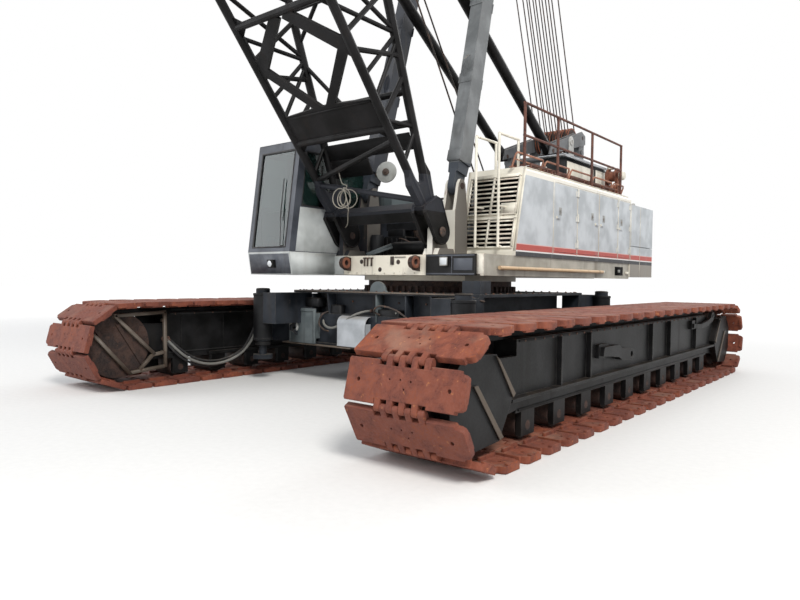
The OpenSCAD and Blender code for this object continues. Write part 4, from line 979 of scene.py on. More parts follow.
# %% Bolts and small fittings of the upper works
side_row = heads(row((-1.771, 4.0, 2.22), (-1.771, 4.95, 2.22), 6), -X, 0.016, 0.012)
rear_row = heads(row((-1.5, 5.121, 2.22), (1.5, 5.121, 2.22), 8), Y, 0.016, 0.012)
piece("upper_bolts", [side_row, rear_row], dark_bolt, "upper")

# %% The front cross panel: dished holes, a welded bracket and pad plates
front_row = heads(row((-0.70, -1.451, 1.70), (0.60, -1.451, 1.70), 8), -Y, 0.013, 0.010)
piece("deck_front_bolts", [front_row], cream, "upper")
piece("skirt_plate", [box((-1.045, -1.4555, 1.672), (-0.790, -1.4495, 1.962), 0.002)], cab_panel, "upper")
dish = [(0.0005, 0.001), (0.034, 0.001), (0.034, 0.003), (0.030, 0.004), (0.0005, 0.0015)]
dishes = [turned(dish, (x, -1.4505, z), -Y, 20) for x, z in ((-0.42, 1.87), (0.30, 1.86), (-0.05, 1.75))]
piece("panel_holes", dishes, drum_steel, "upper", smooth=40)
brackets = [box((x, -1.475, 1.80), (x + 0.018, -1.449, 1.92)) for x in (-0.36, -0.30, -0.22)]
brackets += boxes((-0.38, -1.470, 1.915, -0.18, -1.449, 1.932), (0.16, -1.468, 1.82, 0.22, -1.449, 1.94),
                  (0.24, -1.462, 1.925, 0.44, -1.449, 1.935))
piece("panel_brackets", brackets, drum_steel, "upper")
lug_line = [(0.042, 0.0), (0.085, 0.0), (0.085, 0.012), (0.078, 0.018), (0.048, 0.018), (0.042, 0.012),
            (0.042, 0.0)]
for side in (-1, 1):
    ring = [open_ring(lug_line, (side * x, -1.56, 1.85), (side * s, 0, 0), 28)
            for x, s in ((0.70, 1), (0.64, -1))]
    piece("lug_rings_" + ("right", "left")[side > 0], ring, rail_rust, "upper", smooth=40)

# %% The lamp box at the left of the front
box_front = boxes((0.84, -1.4945, 1.68, 1.63, -1.489, 1.70), (0.84, -1.4945, 1.93, 1.63, -1.489, 1.95),
                  (1.26, -1.4935, 1.70, 1.275, -1.489, 1.93),
                  (1.30, -1.4955, 1.74, 1.60, -1.489, 1.90, 0.003))
piece("lamp_box_trim", box_front, cab_dark, "upper")
lamp_glass = [box((1.110, -1.546, 1.812), (1.220, -1.539, 1.908), 0.004)]
piece("front_lamp_lens", lamp_glass, clear_lens, "upper")
lamp_rim = [box((1.098, -1.5445, z0), (1.232, -1.538, z1), 0.002)
            for z0, z1 in ((1.798, 1.812), (1.908, 1.922))]
lamp_rim += [box((x0, -1.5445, 1.80), (x1, -1.538, 1.92), 0.002)
             for x0, x1 in ((1.098, 1.110), (1.220, 1.232))]
piece("front_lamp_rim", lamp_rim, bright_steel, "upper")
piece("corner_plate", [box((1.64, -1.4535, 1.69), (1.752, -1.4495, 1.955), 0.002)], cream, "upper")


# %% [markdown]
# ## The cab
# The cab's inner wall is a pale panel under a dark window frame. Rubber seals ring every
# pane, a wiper rests on the windscreen, and a seat with a cushion and a back stands inside.

# %% Panels on the walls of the cab
cab_x0, cab_x1, cab_y0, cab_y1, cab_floor, cab_top = -1.96, -1.00, -2.39, -0.56, 2.00, 3.65
cab_rise, cab_rake = 1.65, 0.22


def cab_front(z):
    """How far back the raked windscreen plane lies at a height z."""
    return cab_y0 + cab_rake * (z - cab_floor) / cab_rise


def wall_sheet(outline, x0, x1):
    """A sheet parallel to the side walls, its outline in y and z."""
    return pushed(outline, x0, x1, side_plane)


inner_panel = [(cab_front(2.01) + 0.12, 2.010), (cab_y1 - 0.004, 2.010), (cab_y1 - 0.004, 2.672),
               (cab_front(2.672) + 0.12, 2.672)]
panels = [wall_sheet(inner_panel, cab_x1 - 0.002, cab_x1 + 0.004)]
panels += [wall_sheet([(cab_y0 + 0.07, 1.672), (-1.455, 1.672), (-1.455, 1.992), (cab_y0 + 0.012, 1.992)],
                      cab_x1 - 0.002, cab_x1 + 0.003)]
panels += [wall_sheet([(cab_front(2.01) + 0.10, 2.030), (-1.560, 2.030), (-1.560, 2.68),
                       (cab_front(2.68) + 0.10, 2.68)], cab_x0 - 0.003, cab_x0 + 0.002)]
panels += [box((cab_x0 + 0.05, cab_y1 - 0.002, 2.03), (cab_x1 - 0.05, cab_y1 + 0.004, 2.80), 0.002)]
piece("cab_panels", panels, cab_panel, "upper")
skirt_up = unit(np.array([0, -0.06, 0.38]))
skirt = [pushed([(cab_x0 + 0.02, 0), (cab_x1 - 0.02, 0), (cab_x1 - 0.02, 0.30), (cab_x0 + 0.02, 0.30)], 0,
                0.004, rotation(X, skirt_up, np.cross(X, skirt_up)), (0, cab_y0 + 0.0545, 1.675))]
piece("cab_skirt", skirt, cab_dark, "upper")

# %% [markdown]
# A seal is a thin dark frame that follows a window's outline. It is the outline, and the
# outline drawn in, joined by quads and given a little depth.

# %% Window seals
def framed(outline, width, low, high, axes, at=(0, 0, 0)):
    """A frame between an outline and the same outline drawn in by width, from low to high."""
    outline = np.asarray(outline, float)
    inner = drawn_in(outline, width)
    n = len(outline)
    rings = [(outline, low), (outline, high), (inner, high), (inner, low)]
    points = np.vstack([np.column_stack([r, np.full(n, c)]) for r, c in rings])
    return points @ axes.T + np.asarray(at, float), [grid_quads(4, n, wrap_n=True, wrap_m=True)[:, ::-1]]


wind_up = unit(np.array([0, cab_rake, cab_rise]))
wind_axes = rotation(X, wind_up, np.cross(X, wind_up))
wind_at = np.array([0, cab_front(cab_floor + 0.06), cab_floor + 0.06])
wind_h = (cab_rise - 0.17) / wind_up[2]
seals = [framed([(cab_x0 + 0.09, 0), (cab_x1 - 0.09, 0), (cab_x1 - 0.09, wind_h), (cab_x0 + 0.09, wind_h)],
                0.022, -0.020, 0.004, wind_axes, wind_at)]
inner_window = [(cab_y0 + 0.23, 2.69), (cab_y1 - 0.15, 2.69), (cab_y1 - 0.15, 3.52), (cab_y0 + 0.33, 3.52)]
outer_window = [(cab_y0 + 0.23, 2.70), (-1.590, 2.70), (-1.590, 3.52), (cab_y0 + 0.33, 3.52)]
seals += [framed(inner_window, 0.018, cab_x1 - 0.034, cab_x1 + 0.003, side_plane),
          framed(outer_window, 0.018, cab_x0 - 0.003, cab_x0 + 0.034, side_plane)]
seals += [framed([(cab_x0 + 0.12, 2.85), (cab_x1 - 0.12, 2.85), (cab_x1 - 0.12, 3.52),
                  (cab_x0 + 0.12, 3.52)], 0.018, -cab_y1 - 0.003, -cab_y1 + 0.034, front_plane)]
piece("window_seals", seals, hose_rubber, "upper")
door_seal = framed([(-1.45, 2.70), (-0.87, 2.70), (-0.87, 3.48), (-1.45, 3.48)], 0.016, cab_x0 - 0.050,
                   cab_x0 - 0.018, side_plane)
piece("door_seal", [door_seal], hose_rubber, "cab_door")
handle = tube([(cab_x0 - 0.050, -1.47, 2.32), (cab_x0 - 0.062, -1.47, 2.34), (cab_x0 - 0.062, -1.47, 2.56),
               (cab_x0 - 0.050, -1.47, 2.58)], 0.008, 8)
piece("door_handle", [handle, box((cab_x0 - 0.052, -1.42, 2.50), (cab_x0 - 0.045, -1.32, 2.60), 0.002)],
      dark_bolt, "cab_door", smooth=50)

# %% Wiper, grab rail, gutter and roof of the cab
pane_point = lambda x, v, off: wind_at + np.array([x, 0, 0]) + wind_up * v + np.cross(X, wind_up) * off
wiper = [tube([pane_point(-1.20, 0.02, 0.012), pane_point(-1.24, 0.40, 0.022),
               pane_point(-1.27, 0.78, 0.014)], 0.006, 6),
         bar(pane_point(-1.265, 0.42, 0.012), pane_point(-1.275, 1.05, 0.012), -Y, 0.010, 0.014, 0.002),
         turned([(0.001, -0.004), (0.022, -0.004), (0.022, 0.014), (0.014, 0.020), (0.001, 0.020)],
                pane_point(-1.20, 0.02, 0.0), (0, -0.99, 0.13), 16)]
piece("wiper", wiper, hose_rubber, "upper", smooth=50)
rail = [tube([(x, -2.20, 2.61) for x in (cab_x0 + 0.12, -1.48, cab_x1 - 0.12)], 0.014, 10)]
rail += [tube([(x, -2.18, 2.06), (x, -2.20, 2.35), (x, -2.20, 2.62)], 0.012, 8)
         for x in (cab_x0 + 0.10, cab_x1 - 0.10)]
piece("cab_inner_rail", rail, cab_inside, "upper", smooth=50)
roof_edge = [(cab_x0 + 0.002, cab_front(3.64) + 0.004), (cab_x1 - 0.002, cab_front(3.64) + 0.004),
             (cab_x1 - 0.002, cab_y1 - 0.004), (cab_x0 + 0.002, cab_y1 - 0.004)]
gutter = [framed(roof_edge, 0.03, cab_top - 0.002, cab_top + 0.014, np.eye(3)),
          box((-1.80, -1.75, cab_top - 0.002), (-1.25, -1.15, cab_top + 0.020), 0.006)]
piece("cab_roof_trim", gutter, cab_dark, "upper")

# %% [markdown]
# A cushion is flat where it rests, crowned on top, and drawn in between its corners. Its
# surface is a rounded box: a power of five keeps the corners full, and the height falls
# away towards the edge like a shallow dome. Sewn channels are grooves across it.

# %% Seat cushions
def cushion(centre, half, across, along, upward, channels=3, n=25):
    """A crowned pad: its height is 1 less the fifth power of r, to the power 0.45, less soft grooves."""
    angle = np.linspace(0, 2 * np.pi, 4 * n, endpoint=False)
    r = np.linspace(0.0, 1.0, n)[1:]
    c, s = np.cos(angle), np.sin(angle)
    square = 1 / (np.abs(c) ** 5 + np.abs(s) ** 5) ** 0.2
    pull = 1 - 0.035 * np.cos(4 * angle) ** 2 * (1 - np.abs(np.sin(2 * angle)))
    u = (c * square * pull)[None] * r[:, None]
    v = (s * square * pull)[None] * r[:, None]
    crown = np.clip(1 - r ** 5, 0, 1)[:, None] ** 0.45 * (1 - 0.10 * (u ** 2 + v ** 2))
    groove = 0.10 * np.exp(-((np.mod(v * channels + 0.5, 1) - 0.5) / 0.10) ** 2)
    groove = groove * (np.abs(v) < 0.80) * (np.abs(u) < 0.86)
    top = np.stack([u, v, crown - groove], -1)
    side = np.clip(1 - r[::-1] ** 9, 0, 1)[:, None] ** 0.3
    low = np.stack([u[::-1], v[::-1], np.full_like(u, -0.9) * side], -1)
    rings = np.concatenate([top, low[1:]])
    m, k = rings.shape[:2]
    tips = np.array([[0, 0, 1.0], [0, 0, -0.9]])
    flat = np.vstack([rings.reshape(-1, 3), tips]) * np.asarray(half)
    axes = rotation(np.asarray(across, float), np.asarray(along, float), np.asarray(upward, float))
    j = np.arange(k)
    fan_top = np.column_stack([np.full(k, m * k), j, (j + 1) % k])
    fan_low = np.column_stack([np.full(k, m * k + 1), (m - 1) * k + (j + 1) % k, (m - 1) * k + j])
    faces = [grid_quads(m, k, wrap_m=True), np.vstack([fan_top, fan_low])]
    return flat @ axes.T + np.asarray(centre, float), faces


seat_x = (cab_x0 + cab_x1) / 2
lean = unit(np.array([0, 0.12, 0.60]))
pad = piece("seat_cushion", [cushion((seat_x, -1.14, 2.405), (0.225, 0.235, 0.045), X, Y, Z)],
            seat_cloth, "upper", smooth=60)
rest = piece("seat_back", [cushion((seat_x, -0.872, 2.76), (0.215, 0.285, 0.045), (-1, 0, 0), lean,
                                   np.cross(-X, lean))], seat_cloth, "upper", smooth=60)
stand = piece("seat_stand", [box((seat_x - 0.09, -1.25, 2.05), (seat_x + 0.09, -1.00, 2.34), 0.01),
                             box((seat_x - 0.20, -1.34, 2.335), (seat_x + 0.20, -0.94, 2.365), 0.006),
                             bar((seat_x, -0.93, 2.35), (seat_x, -0.80, 2.98), X, 0.03, 0.16, 0.004),
                             bar((seat_x - 0.12, -0.94, 2.35), (seat_x + 0.12, -0.94, 2.35), Z, 0.04, 0.03,
                                 0.004)], hose_rubber, "upper")
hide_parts("cab_seat")

# %% Console, levers and pedals
console = boxes((cab_x0 + 0.10, -1.60, 2.05, cab_x0 + 0.26, -0.95, 2.42, 0.015),
                (cab_x1 - 0.26, -1.60, 2.05, cab_x1 - 0.10, -0.95, 2.42, 0.015),
                (seat_x - 0.30, -2.16, 2.05, seat_x - 0.10, -2.06, 2.24, 0.01),
                (seat_x + 0.08, -2.16, 2.05, seat_x + 0.28, -2.06, 2.24, 0.01))
piece("console", console, engine_paint, "upper")
knob = [(0.001, 0), (0.020, 0.006), (0.024, 0.024), (0.018, 0.040), (0.001, 0.046)]
lever_at = [(x, y) for x in (cab_x0 + 0.18, cab_x1 - 0.18) for y in (-1.52, -1.44, -1.36)]
levers = [tube([(x, y, 2.41), (x, y - 0.02, 2.50), (x, y - 0.05, 2.58)], 0.008, 8) for x, y in lever_at]
levers += [turned(knob, (x, y - 0.05, 2.572), (0, -0.3, 1), 12) for x, y in lever_at]
piece("levers", levers, hose_rubber, "upper", smooth=50)
piece("skirt_lamp_lens", [turned([(0.001, 0), (0.046, 0), (0.046, 0.004), (0.030, 0.010), (0.001, 0.012)],
                                 (-1.395, cab_y0 - 0.038, 1.82), unit(np.array([0, -0.99, -0.15])), 20)],
      clear_lens, "upper", smooth=40)


# %% [markdown]
# ## The boom's foot and what stands behind it
# The boom keeps its own frame, leaned back by its angle. A small function turns a place
# in that frame, across, through and along the boom, into the machine's frame.

# %% Places in the boom's and the mast's own frames
foot, mast_foot = np.array([0, -1.33, 2.28]), np.array([0, -0.82, 2.98])
boom_lean, mast_lean, taper = math.radians(60), math.radians(75.5), math.radians(9.4)
spread, chord_x, mast_length = math.tan(taper), 0.86, 9.3
mast_foot_x, mast_head_x = 0.85, 0.64
boom_up = np.array([0, -math.cos(boom_lean), math.sin(boom_lean)])
boom_rear = np.array([0, math.sin(boom_lean), math.cos(boom_lean)])
mast_up = np.array([0, math.cos(mast_lean), math.sin(mast_lean)])
mast_rear = np.array([0, math.sin(mast_lean), -math.cos(mast_lean)])
panel_up = boom_up * math.cos(taper) - boom_rear * math.sin(taper)
panel_out = -boom_rear * math.cos(taper) - boom_up * math.sin(taper)
panel_axes = rotation(X, panel_up, panel_out)


def on_boom(x, y, z):
    """A place x across, y to the rear face and z along the boom."""
    return foot + np.array([x, 0, 0]) + boom_rear * y + boom_up * z


def boom_box(low, high, chamfer=0.004):
    """A box with its sides along the boom's own axes."""
    p, f = box(low, high, chamfer)
    return foot + p[:, :1] * X + p[:, 1:2] * boom_rear + p[:, 2:] * boom_up, f


def mast_box(low, high, chamfer=0.004):
    """A box with its sides along the mast's own axes."""
    p, f = box(low, high, chamfer)
    return mast_foot + p[:, :1] * X + p[:, 1:2] * mast_rear + p[:, 2:] * mast_up, f


# %% [markdown]
# Each foot of the boom is a casting: a thick rim runs round its plates, and a round cap
# with two bolts covers the pin.

# %% Foot castings
rims, keepers, nuts = [], [], []
cap_profile = [(0.0005, 0), (0.070, 0), (0.070, 0.008), (0.060, 0.014), (0.030, 0.016), (0.028, 0.010),
               (0.0005, 0.010)]
arc = np.radians(np.linspace(-180, 0, 22))
for side in (-1, 1):
    for s in (-1, 1):
        x0 = side * chord_x + s * 0.125
        ring = np.column_stack([0.174 * np.cos(arc), 0.174 * np.sin(arc)])
        outline = np.vstack([ring, [(0.207, 0.40), (0.126, 0.474), (-0.126, 0.474), (-0.207, 0.40)]])
        line = np.array([on_boom(x0, y, z) for y, z in outline])
        rims.append(tube(np.vstack([line, line[:1]]), 0.011, 6))
    x1 = side * (chord_x + 0.135)
    keepers.append(turned(cap_profile, on_boom(x1 - side * 0.001, 0, 0), (side, 0, 0), 32))
    bolt_at = [on_boom(x1 + side * 0.007, y, 0) for y in (-0.045, 0.045)]
    nuts.append(heads(bolt_at, (side, 0, 0), 0.010, 0.008))
piece("foot_rims", rims, boom_black, "boom", smooth=60)
piece("foot_pin_caps", keepers, drum_steel, "boom", smooth=40)
piece("foot_pin_bolts", nuts, dark_bolt, "boom")

# %% [markdown]
# Where a chord changes direction small gussets are let in, and the joint of the two boom
# sections has four pairs of ears with a pin through each.

# %% Ears at the section joint
ears, joint_pins = [], []
for sx in (-1, 1):
    for sy in (-1, 1):
        for k in (-0.078, 0.078):
            x, y = sx * chord_x + k, sy * chord_x
            ears.append(boom_box((x - 0.012, y - 0.075, 9.05), (x + 0.012, y + 0.075, 9.23), 0.006))
        a = on_boom(sx * chord_x - 0.115, sy * chord_x, 9.14)
        joint_pins.append(tube([a, a + [0.115, 0, 0], a + [0.23, 0, 0]], 0.026, 14))
piece("section_ears", ears, boom_black, "boom")
piece("section_pins", joint_pins, rail_rust, "boom", smooth=50)
plates = []
for sx in (-1, 1):
    for z in (1.61, 3.30):
        y = -z * spread
        tri = [(0.0, -0.13), (0.17, 0.0), (0.0, 0.13)]
        if sx > 0:
            tri = [(0.0, -0.13), (0.0, 0.13), (-0.17, 0.0)]
        plates.append(pushed(np.array(tri) + [sx * 0.80, 0], -0.012, 0.012, panel_axes, on_boom(0, y, z)))
piece("boom_gussets", plates, boom_black, "boom")

# %% [markdown]
# The deep front panel of the boom has a welded strip along its lower and its upper edge.

# %% Trim of the front panel of the boom
strip_line = [(-0.80, -0.012), (0.80, -0.012), (0.80, 0.012), (-0.80, 0.012)]
strips = [pushed(strip_line, 0.020, 0.034, panel_axes, foot + panel_up * z) for z in (1.672, 2.028)]
piece("panel_strips", strips, boom_black, "boom")

# %% [markdown]
# Behind the feet stand the hoist's gear case, a valve bank with its fittings, an air tank
# and a black cross beam. In the shade they read as dark shapes with a few bright metal
# parts, so each is a plain form with eased edges, ribs, bolts and pipes.

# %% Machinery between the feet
machines = boxes((-0.68, -0.66, 1.958, -0.20, -0.30, 2.30, 0.02),
                 (-0.14, -0.60, 1.958, 0.30, -0.34, 2.22, 0.015),
                 (0.34, -0.62, 1.958, 0.66, -0.36, 2.34, 0.02),
                 (-0.66, -0.58, 2.295, -0.30, -0.36, 2.42, 0.02),
                 (-0.70, -0.56, 2.40, 0.70, -0.42, 2.52, 0.01))
machines += [box((x, -0.675, 1.99), (x + 0.02, -0.64, 2.27), 0.003) for x in (-0.60, -0.50, -0.40, -0.30)]
filter_line = [(0.0005, 0), (0.10, 0.004), (0.112, 0.02), (0.112, 0.30), (0.09, 0.35), (0.0005, 0.36)]
air_tank = [(0.0005, 0), (0.085, 0.01), (0.095, 0.03), (0.095, 0.62), (0.085, 0.645), (0.0005, 0.66)]
machines += [turned(filter_line, (-0.58, -0.92, 1.96), Z, 28), turned(air_tank, (-0.28, -0.86, 2.10), X, 24)]
piece("hoist_machinery", machines, black_box, "upper", smooth=35)
fitting = [(0.0005, 0), (0.016, 0), (0.018, 0.012), (0.010, 0.016), (0.010, 0.05), (0.0005, 0.052)]
fitted = [((-0.02, -0.612, 2.12), (0, -1, 0.2)), ((0.06, -0.612, 2.10), -Y),
          ((0.14, -0.612, 2.13), (0, -1, 0.1)), ((0.22, -0.612, 2.09), -Y), ((-0.10, -0.612, 2.05), -Y),
          ((0.44, -0.63, 2.12), -Y), ((0.52, -0.63, 2.20), (0, -1, 0.3))]
bits = [turned(fitting, at, aim, 12) for at, aim in fitted]
piece("valve_fittings", bits, bright_steel, "upper", smooth=40)
pipe_points = [[(-0.02, -0.66, 2.13), (-0.03, -0.74, 2.18), (-0.16, -0.76, 2.24), (-0.30, -0.70, 2.26),
                (-0.33, -0.655, 2.24)],
               [(0.06, -0.66, 2.10), (0.08, -0.75, 2.12), (0.26, -0.77, 2.10), (0.40, -0.72, 2.12),
                (0.44, -0.68, 2.12)],
               [(0.14, -0.66, 2.135), (0.16, -0.72, 2.17), (0.30, -0.74, 2.24), (0.47, -0.71, 2.26),
                (0.52, -0.68, 2.215)]]
pipes = [tube(flowing(p, 14), 0.011, 8) for p in pipe_points]
piece("valve_pipes", pipes, drum_steel, "upper", smooth=60)
slant = [bar((-0.40, -1.36, 1.975), (-0.10, -1.12, 2.13), Z, 0.10, 0.06, 0.01),
         bar((-0.30, -1.40, 1.972), (-0.02, -1.20, 2.09), Z, 0.03, 0.03, 0.006)]
piece("slanted_arm", slant, grey_box, "upper")

# %% [markdown]
# On the inner side of the far mast leg sits a guide wheel: a pale disc with a brown hub.

# %% Guide wheel and cheek plates of the mast
wheel_at, wheel_axis = np.array([-0.500, -0.80, 3.32]), (0.35, -1, 0.1)
disc = turned([(0.0005, -0.016), (0.160, -0.016), (0.170, -0.010), (0.170, 0.010), (0.160, 0.016),
               (0.060, 0.016), (0.0005, 0.020)], wheel_at, wheel_axis, 40)
piece("guide_wheel", [disc], grey_disc, "mast", smooth=40)
hub = turned([(0.0005, 0.0), (0.052, 0.0), (0.056, 0.024), (0.044, 0.034), (0.022, 0.036), (0.020, 0.052),
              (0.0005, 0.054)], wheel_at + [0.005, -0.014, 0.0], wheel_axis, 24)
arm = bar(wheel_at + [-0.26, 0.05, -0.005], wheel_at + [0.03, 0.045, -0.005], Z, 0.05, 0.07, 0.006)
piece("guide_wheel_hub", [hub, arm], drum_steel, "mast", smooth=40)
cheeks = []
for side in (-1, 1):
    for z in (0.36, 1.60, 2.9):
        taper_x = mast_foot_x - (mast_foot_x - mast_head_x) * z / mast_length
        cheeks += [mast_box((side * taper_x - 0.116, y0, z), (side * taper_x + 0.116, y0 + 0.006, z + 0.16),
                            0.002) for y0 in (-0.153, 0.147)]
piece("mast_bands", cheeks, mast_grey_and_shade, "mast")

# %% [markdown]
# The lowest bays have more lacing than the solids: thin tubes on both sides and the rear
# face, and a wide plate between the rear chords. Up there the boom widens by its taper.

# %% Lacing of the lowest bays
def lace(x0, face0, z0, x1, face1, z1, radius=0.030):
    """A tube between two chords: face is -1 in front and 1 behind, and half the depth is spread z."""
    return tube([on_boom(x0, face0 * spread * z0, z0), on_boom(x1, face1 * spread * z1, z1)], radius, 10)


side_bays = [(-1, 3.18, 1, 2.63), (-1, 3.90, 1, 2.66), (-1, 2.32, 1, 2.60), (-1, 2.00, 1, 2.52),
             (-1, 1.72, 1, 1.45), (-1, 1.10, 1, 1.39)]
lacing = [lace(x, f0, z0, x, f1, z1) for x in (-chord_x, chord_x) for f0, z0, f1, z1 in side_bays]
lacing += [lace(-chord_x, 1, 2.84, chord_x, 1, 4.30), lace(-chord_x, 1, 2.56, -0.30, 1, 1.90),
           lace(-chord_x, 1, 1.90, chord_x, 1, 1.90, 0.045)]
lacing += [bar(on_boom(-0.80, 0.19, z), on_boom(x1, 0.19, z), boom_up, 0.020, height)
           for x1, z, height in ((0.80, 1.28, 0.24), (-0.06, 1.02, 0.28))]
piece("boom_lacing", lacing, boom_black, "boom", smooth=50)
print("boom and hoist pieces", len(made))


# %% [markdown]
# ## The undercarriage
# The middle of the undercarriage carries lugs, ribs, pipes and a shackle plate. The plate
# is grey with a pale ring on it, and a bent guard shields the valves beside it.

# %% Plates and lugs on the middle of the undercarriage
ring_at = np.array([-1.63, -1.70, 0.835])
shackle = boxes((-1.77, -1.712, 0.58, -1.16, -1.680, 1.135, 0.01),
                (-1.75, -1.725, 0.60, -1.73, -1.700, 1.115), (-1.20, -1.725, 0.60, -1.18, -1.700, 1.115),
                (-1.73, -1.722, 1.085, -1.20, -1.700, 1.115), (-1.75, -1.690, 0.66, -1.72, -1.410, 1.06),
                (-1.21, -1.690, 0.66, -1.18, -1.410, 1.06))
piece("shackle_plate", shackle, grey_box, "carbody")
ring_line = [(0.045, 0.0), (0.092, 0.0), (0.096, 0.008), (0.096, 0.030), (0.088, 0.040), (0.056, 0.040),
             (0.045, 0.030), (0.045, 0.0)]
piece("shackle_ring", [turned(ring_line, ring_at + [0, -0.010, 0], -Y, 36)], pale_metal, "carbody", smooth=40)
bend = np.radians(np.linspace(0, 90, 10))
section = np.vstack([[(0.0, 0.0)], [(0.0, 0.34)],
                     np.column_stack([0.12 - 0.12 * np.cos(bend), 0.34 + 0.12 * np.sin(bend)])[1:],
                     [(0.20, 0.46)]])
outer = section + [0.006, 0] * (section[:, 1:] < 0.45) + [0, -0.006] * (section[:, 1:] >= 0.34)
loop_outline = np.vstack([section, outer[::-1]])
guard = [pushed(loop_outline[::-1], -0.69, -0.11, side_plane, (0, -1.700, 0.585))]
guard += boxes((-0.69, -1.700, 0.60, -0.682, -1.42, 0.94, 0.002),
               (-0.118, -1.700, 0.60, -0.11, -1.42, 0.94, 0.002))
piece("valve_guard", guard, panel_grey, "carbody", smooth=40)
lug_turn = np.radians(np.linspace(0, 180, 16))
lug_top = np.column_stack([-0.15 * np.cos(lug_turn), 0.03 + 0.13 * np.sin(lug_turn)])
lug_outline = np.vstack([[(-0.19, 0)], lug_top, [(0.19, 0)]])[::-1]
lug = pushed(lug_outline, 0, 0.035, front_plane, (0.02, -1.545, 1.415), 0.004)
piece("flange_lug", [lug], grey_box, "carbody", smooth=40)
carbody_bolts = [heads(row((-1.65, y, 1.421), (1.65, y, 1.421), 23), Z, 0.015, 0.012) for y in (-1.58, 1.58)]
carbody_bolts += [heads(row((x, -1.4, 1.421), (x, 1.4, 1.421), 16), Z, 0.015, 0.012) for x in (-1.76, 1.76)]
angle = np.radians(np.arange(0, 360, 7.5))
carbody_bolts += [heads(np.column_stack([1.13 * np.cos(angle), 1.13 * np.sin(angle), np.full(48, 1.5105)]),
                        Z, 0.017, 0.018)]
carbody_bolts += [heads([(x, -1.421, z)], -Y, 0.016, 0.012) for x in (-1.30, -0.62, -0.1, 0.3, 0.8, 1.3)
                  for z in (0.72, 1.26)]
piece("carbody_bolts", carbody_bolts, dark_bolt, "carbody")
ribs = [box((x, y, 0.63), (x + 0.02, y + 0.181, 1.37), 0.003) for y in (-1.60, 1.419)
        for x in (-1.36, 0.55, 1.28)]
piece("carbody_ribs", ribs, carbody_dark, "carbody")
dusty_edges = boxes((-1.75, -1.628, 1.400, 1.66, -1.600, 1.419, 0.003),
                    (-1.95, -1.70, 0.552, -0.42, -1.42, 0.572),
                    (-1.75, 1.600, 1.400, 1.66, 1.628, 1.419, 0.003))
piece("dusty_edges", dusty_edges, guard_paint, "carbody")
gusset = pushed([(-1.60, 0.975), (-1.42, 0.975), (-1.42, 1.400), (-1.60, 1.400)], 0.0, 0.016, side_plane,
                (0, 0, 0), 0.002)
piece("carbody_gusset", [gusset], grey_box, "carbody")
blocks = boxes((0.62, -1.60, 0.66, 1.12, -1.41, 1.05, 0.02), (-0.08, -1.56, 0.70, 0.40, -1.41, 1.16, 0.015),
               (-1.10, -1.54, 0.70, -0.78, -1.41, 1.20, 0.02), (-1.62, -1.62, 1.15, -1.20, -1.41, 1.30, 0.02))
piece("valve_boxes", blocks, black_box, "carbody")
box_bolts = [heads([(x, y, z) for x in xs for z in zs], -Y, 0.014, 0.010)
             for xs, y, zs in (((0.66, 1.08), -1.601, (0.70, 1.01)), ((-0.04, 0.36), -1.561, (0.74, 1.12)))]
piece("valve_box_bolts", box_bolts, bright_steel, "carbody")
loose = [[(1.36, -1.60, 1.10), (1.44, -1.66, 1.20), (1.56, -1.68, 1.34), (1.66, -1.66, 1.385),
          (1.74, -1.52, 1.36)], [(1.44, -1.60, 1.08), (1.52, -1.68, 1.20), (1.62, -1.72, 1.30),
                                 (1.72, -1.70, 1.36), (1.80, -1.50, 1.33)],
         [(-1.55, -1.60, 1.16), (-1.66, -1.76, 1.18), (-1.72, -1.86, 1.30), (-1.86, -1.96, 1.32),
          (-1.90, -2.02, 1.28)], [(-1.02, -1.54, 1.10), (-1.06, -1.66, 1.04), (-1.10, -1.68, 0.90),
                                  (-1.04, -1.62, 0.80), (-0.95, -1.54, 0.78)],
         [(0.05, -1.56, 1.08), (0.02, -1.66, 1.14), (0.18, -1.70, 1.22), (0.46, -1.66, 1.16),
          (0.70, -1.60, 0.98)]]
piece("carbody_pipes", [tube(flowing(p, 20), 0.013, 8) for p in loose], drum_steel, "carbody", smooth=60)

# %% [markdown]
# Each upright jack stands in a wide black sleeve, with a gland ring at its lower end, two
# hose ports and a round cap.

# %% Jack fittings
jack_x, jack_y = 1.9, 2.14
gland_line = [(0.062, -0.002), (0.112, -0.002), (0.122, 0.006), (0.122, 0.05), (0.114, 0.058), (0.062, 0.058)]
jack_cap = [(0.0005, -0.002), (0.100, -0.002), (0.112, 0.0), (0.112, 0.012), (0.090, 0.026), (0.0005, 0.030)]
port_line = [(0.0005, 0), (0.022, 0), (0.022, 0.018), (0.014, 0.020), (0.014, 0.034), (0.0005, 0.034)]
glands = []
for x in (-jack_x, jack_x):
    for y in (-jack_y, jack_y):
        glands += [turned(gland_line, (x, y, 0.545), Z, 28), turned(jack_cap, (x, y, 1.420), Z, 28)]
        out = -1 if y < 0 else 1
        glands += [turned(port_line, (x, y + out * 0.108, z), (0, out, 0), 12) for z in (0.66, 1.30)]
piece("jack_fittings", glands, frame_black_and_shade, "carbody", smooth=40)
sleeve = [(0.116, 0.0), (0.150, 0.0), (0.156, 0.006), (0.156, 0.030), (0.148, 0.036), (0.148, 0.700),
          (0.156, 0.706), (0.156, 0.735), (0.150, 0.741), (0.116, 0.741), (0.116, 0.0)]
piece("jack_sleeves", [open_ring(sleeve, (x, y, 0.625), Z) for x in (-jack_x, jack_x)
                       for y in (-jack_y, jack_y)], black_box, "carbody", smooth=40)

# %% [markdown]
# The side frames are welded boxes with long flange edges, ribs, and a row of bolts along
# the flanges. They are built for the left frame and mirrored to the right one by changing
# the sign of x and turning the faces round.

# %% Side frame details
def mirrored(part):
    """The same part on the other side: x changes its sign, and faces are turned round to face out."""
    points, faces = part
    return points * [-1, 1, 1], [f[:, ::-1] for f in faces]


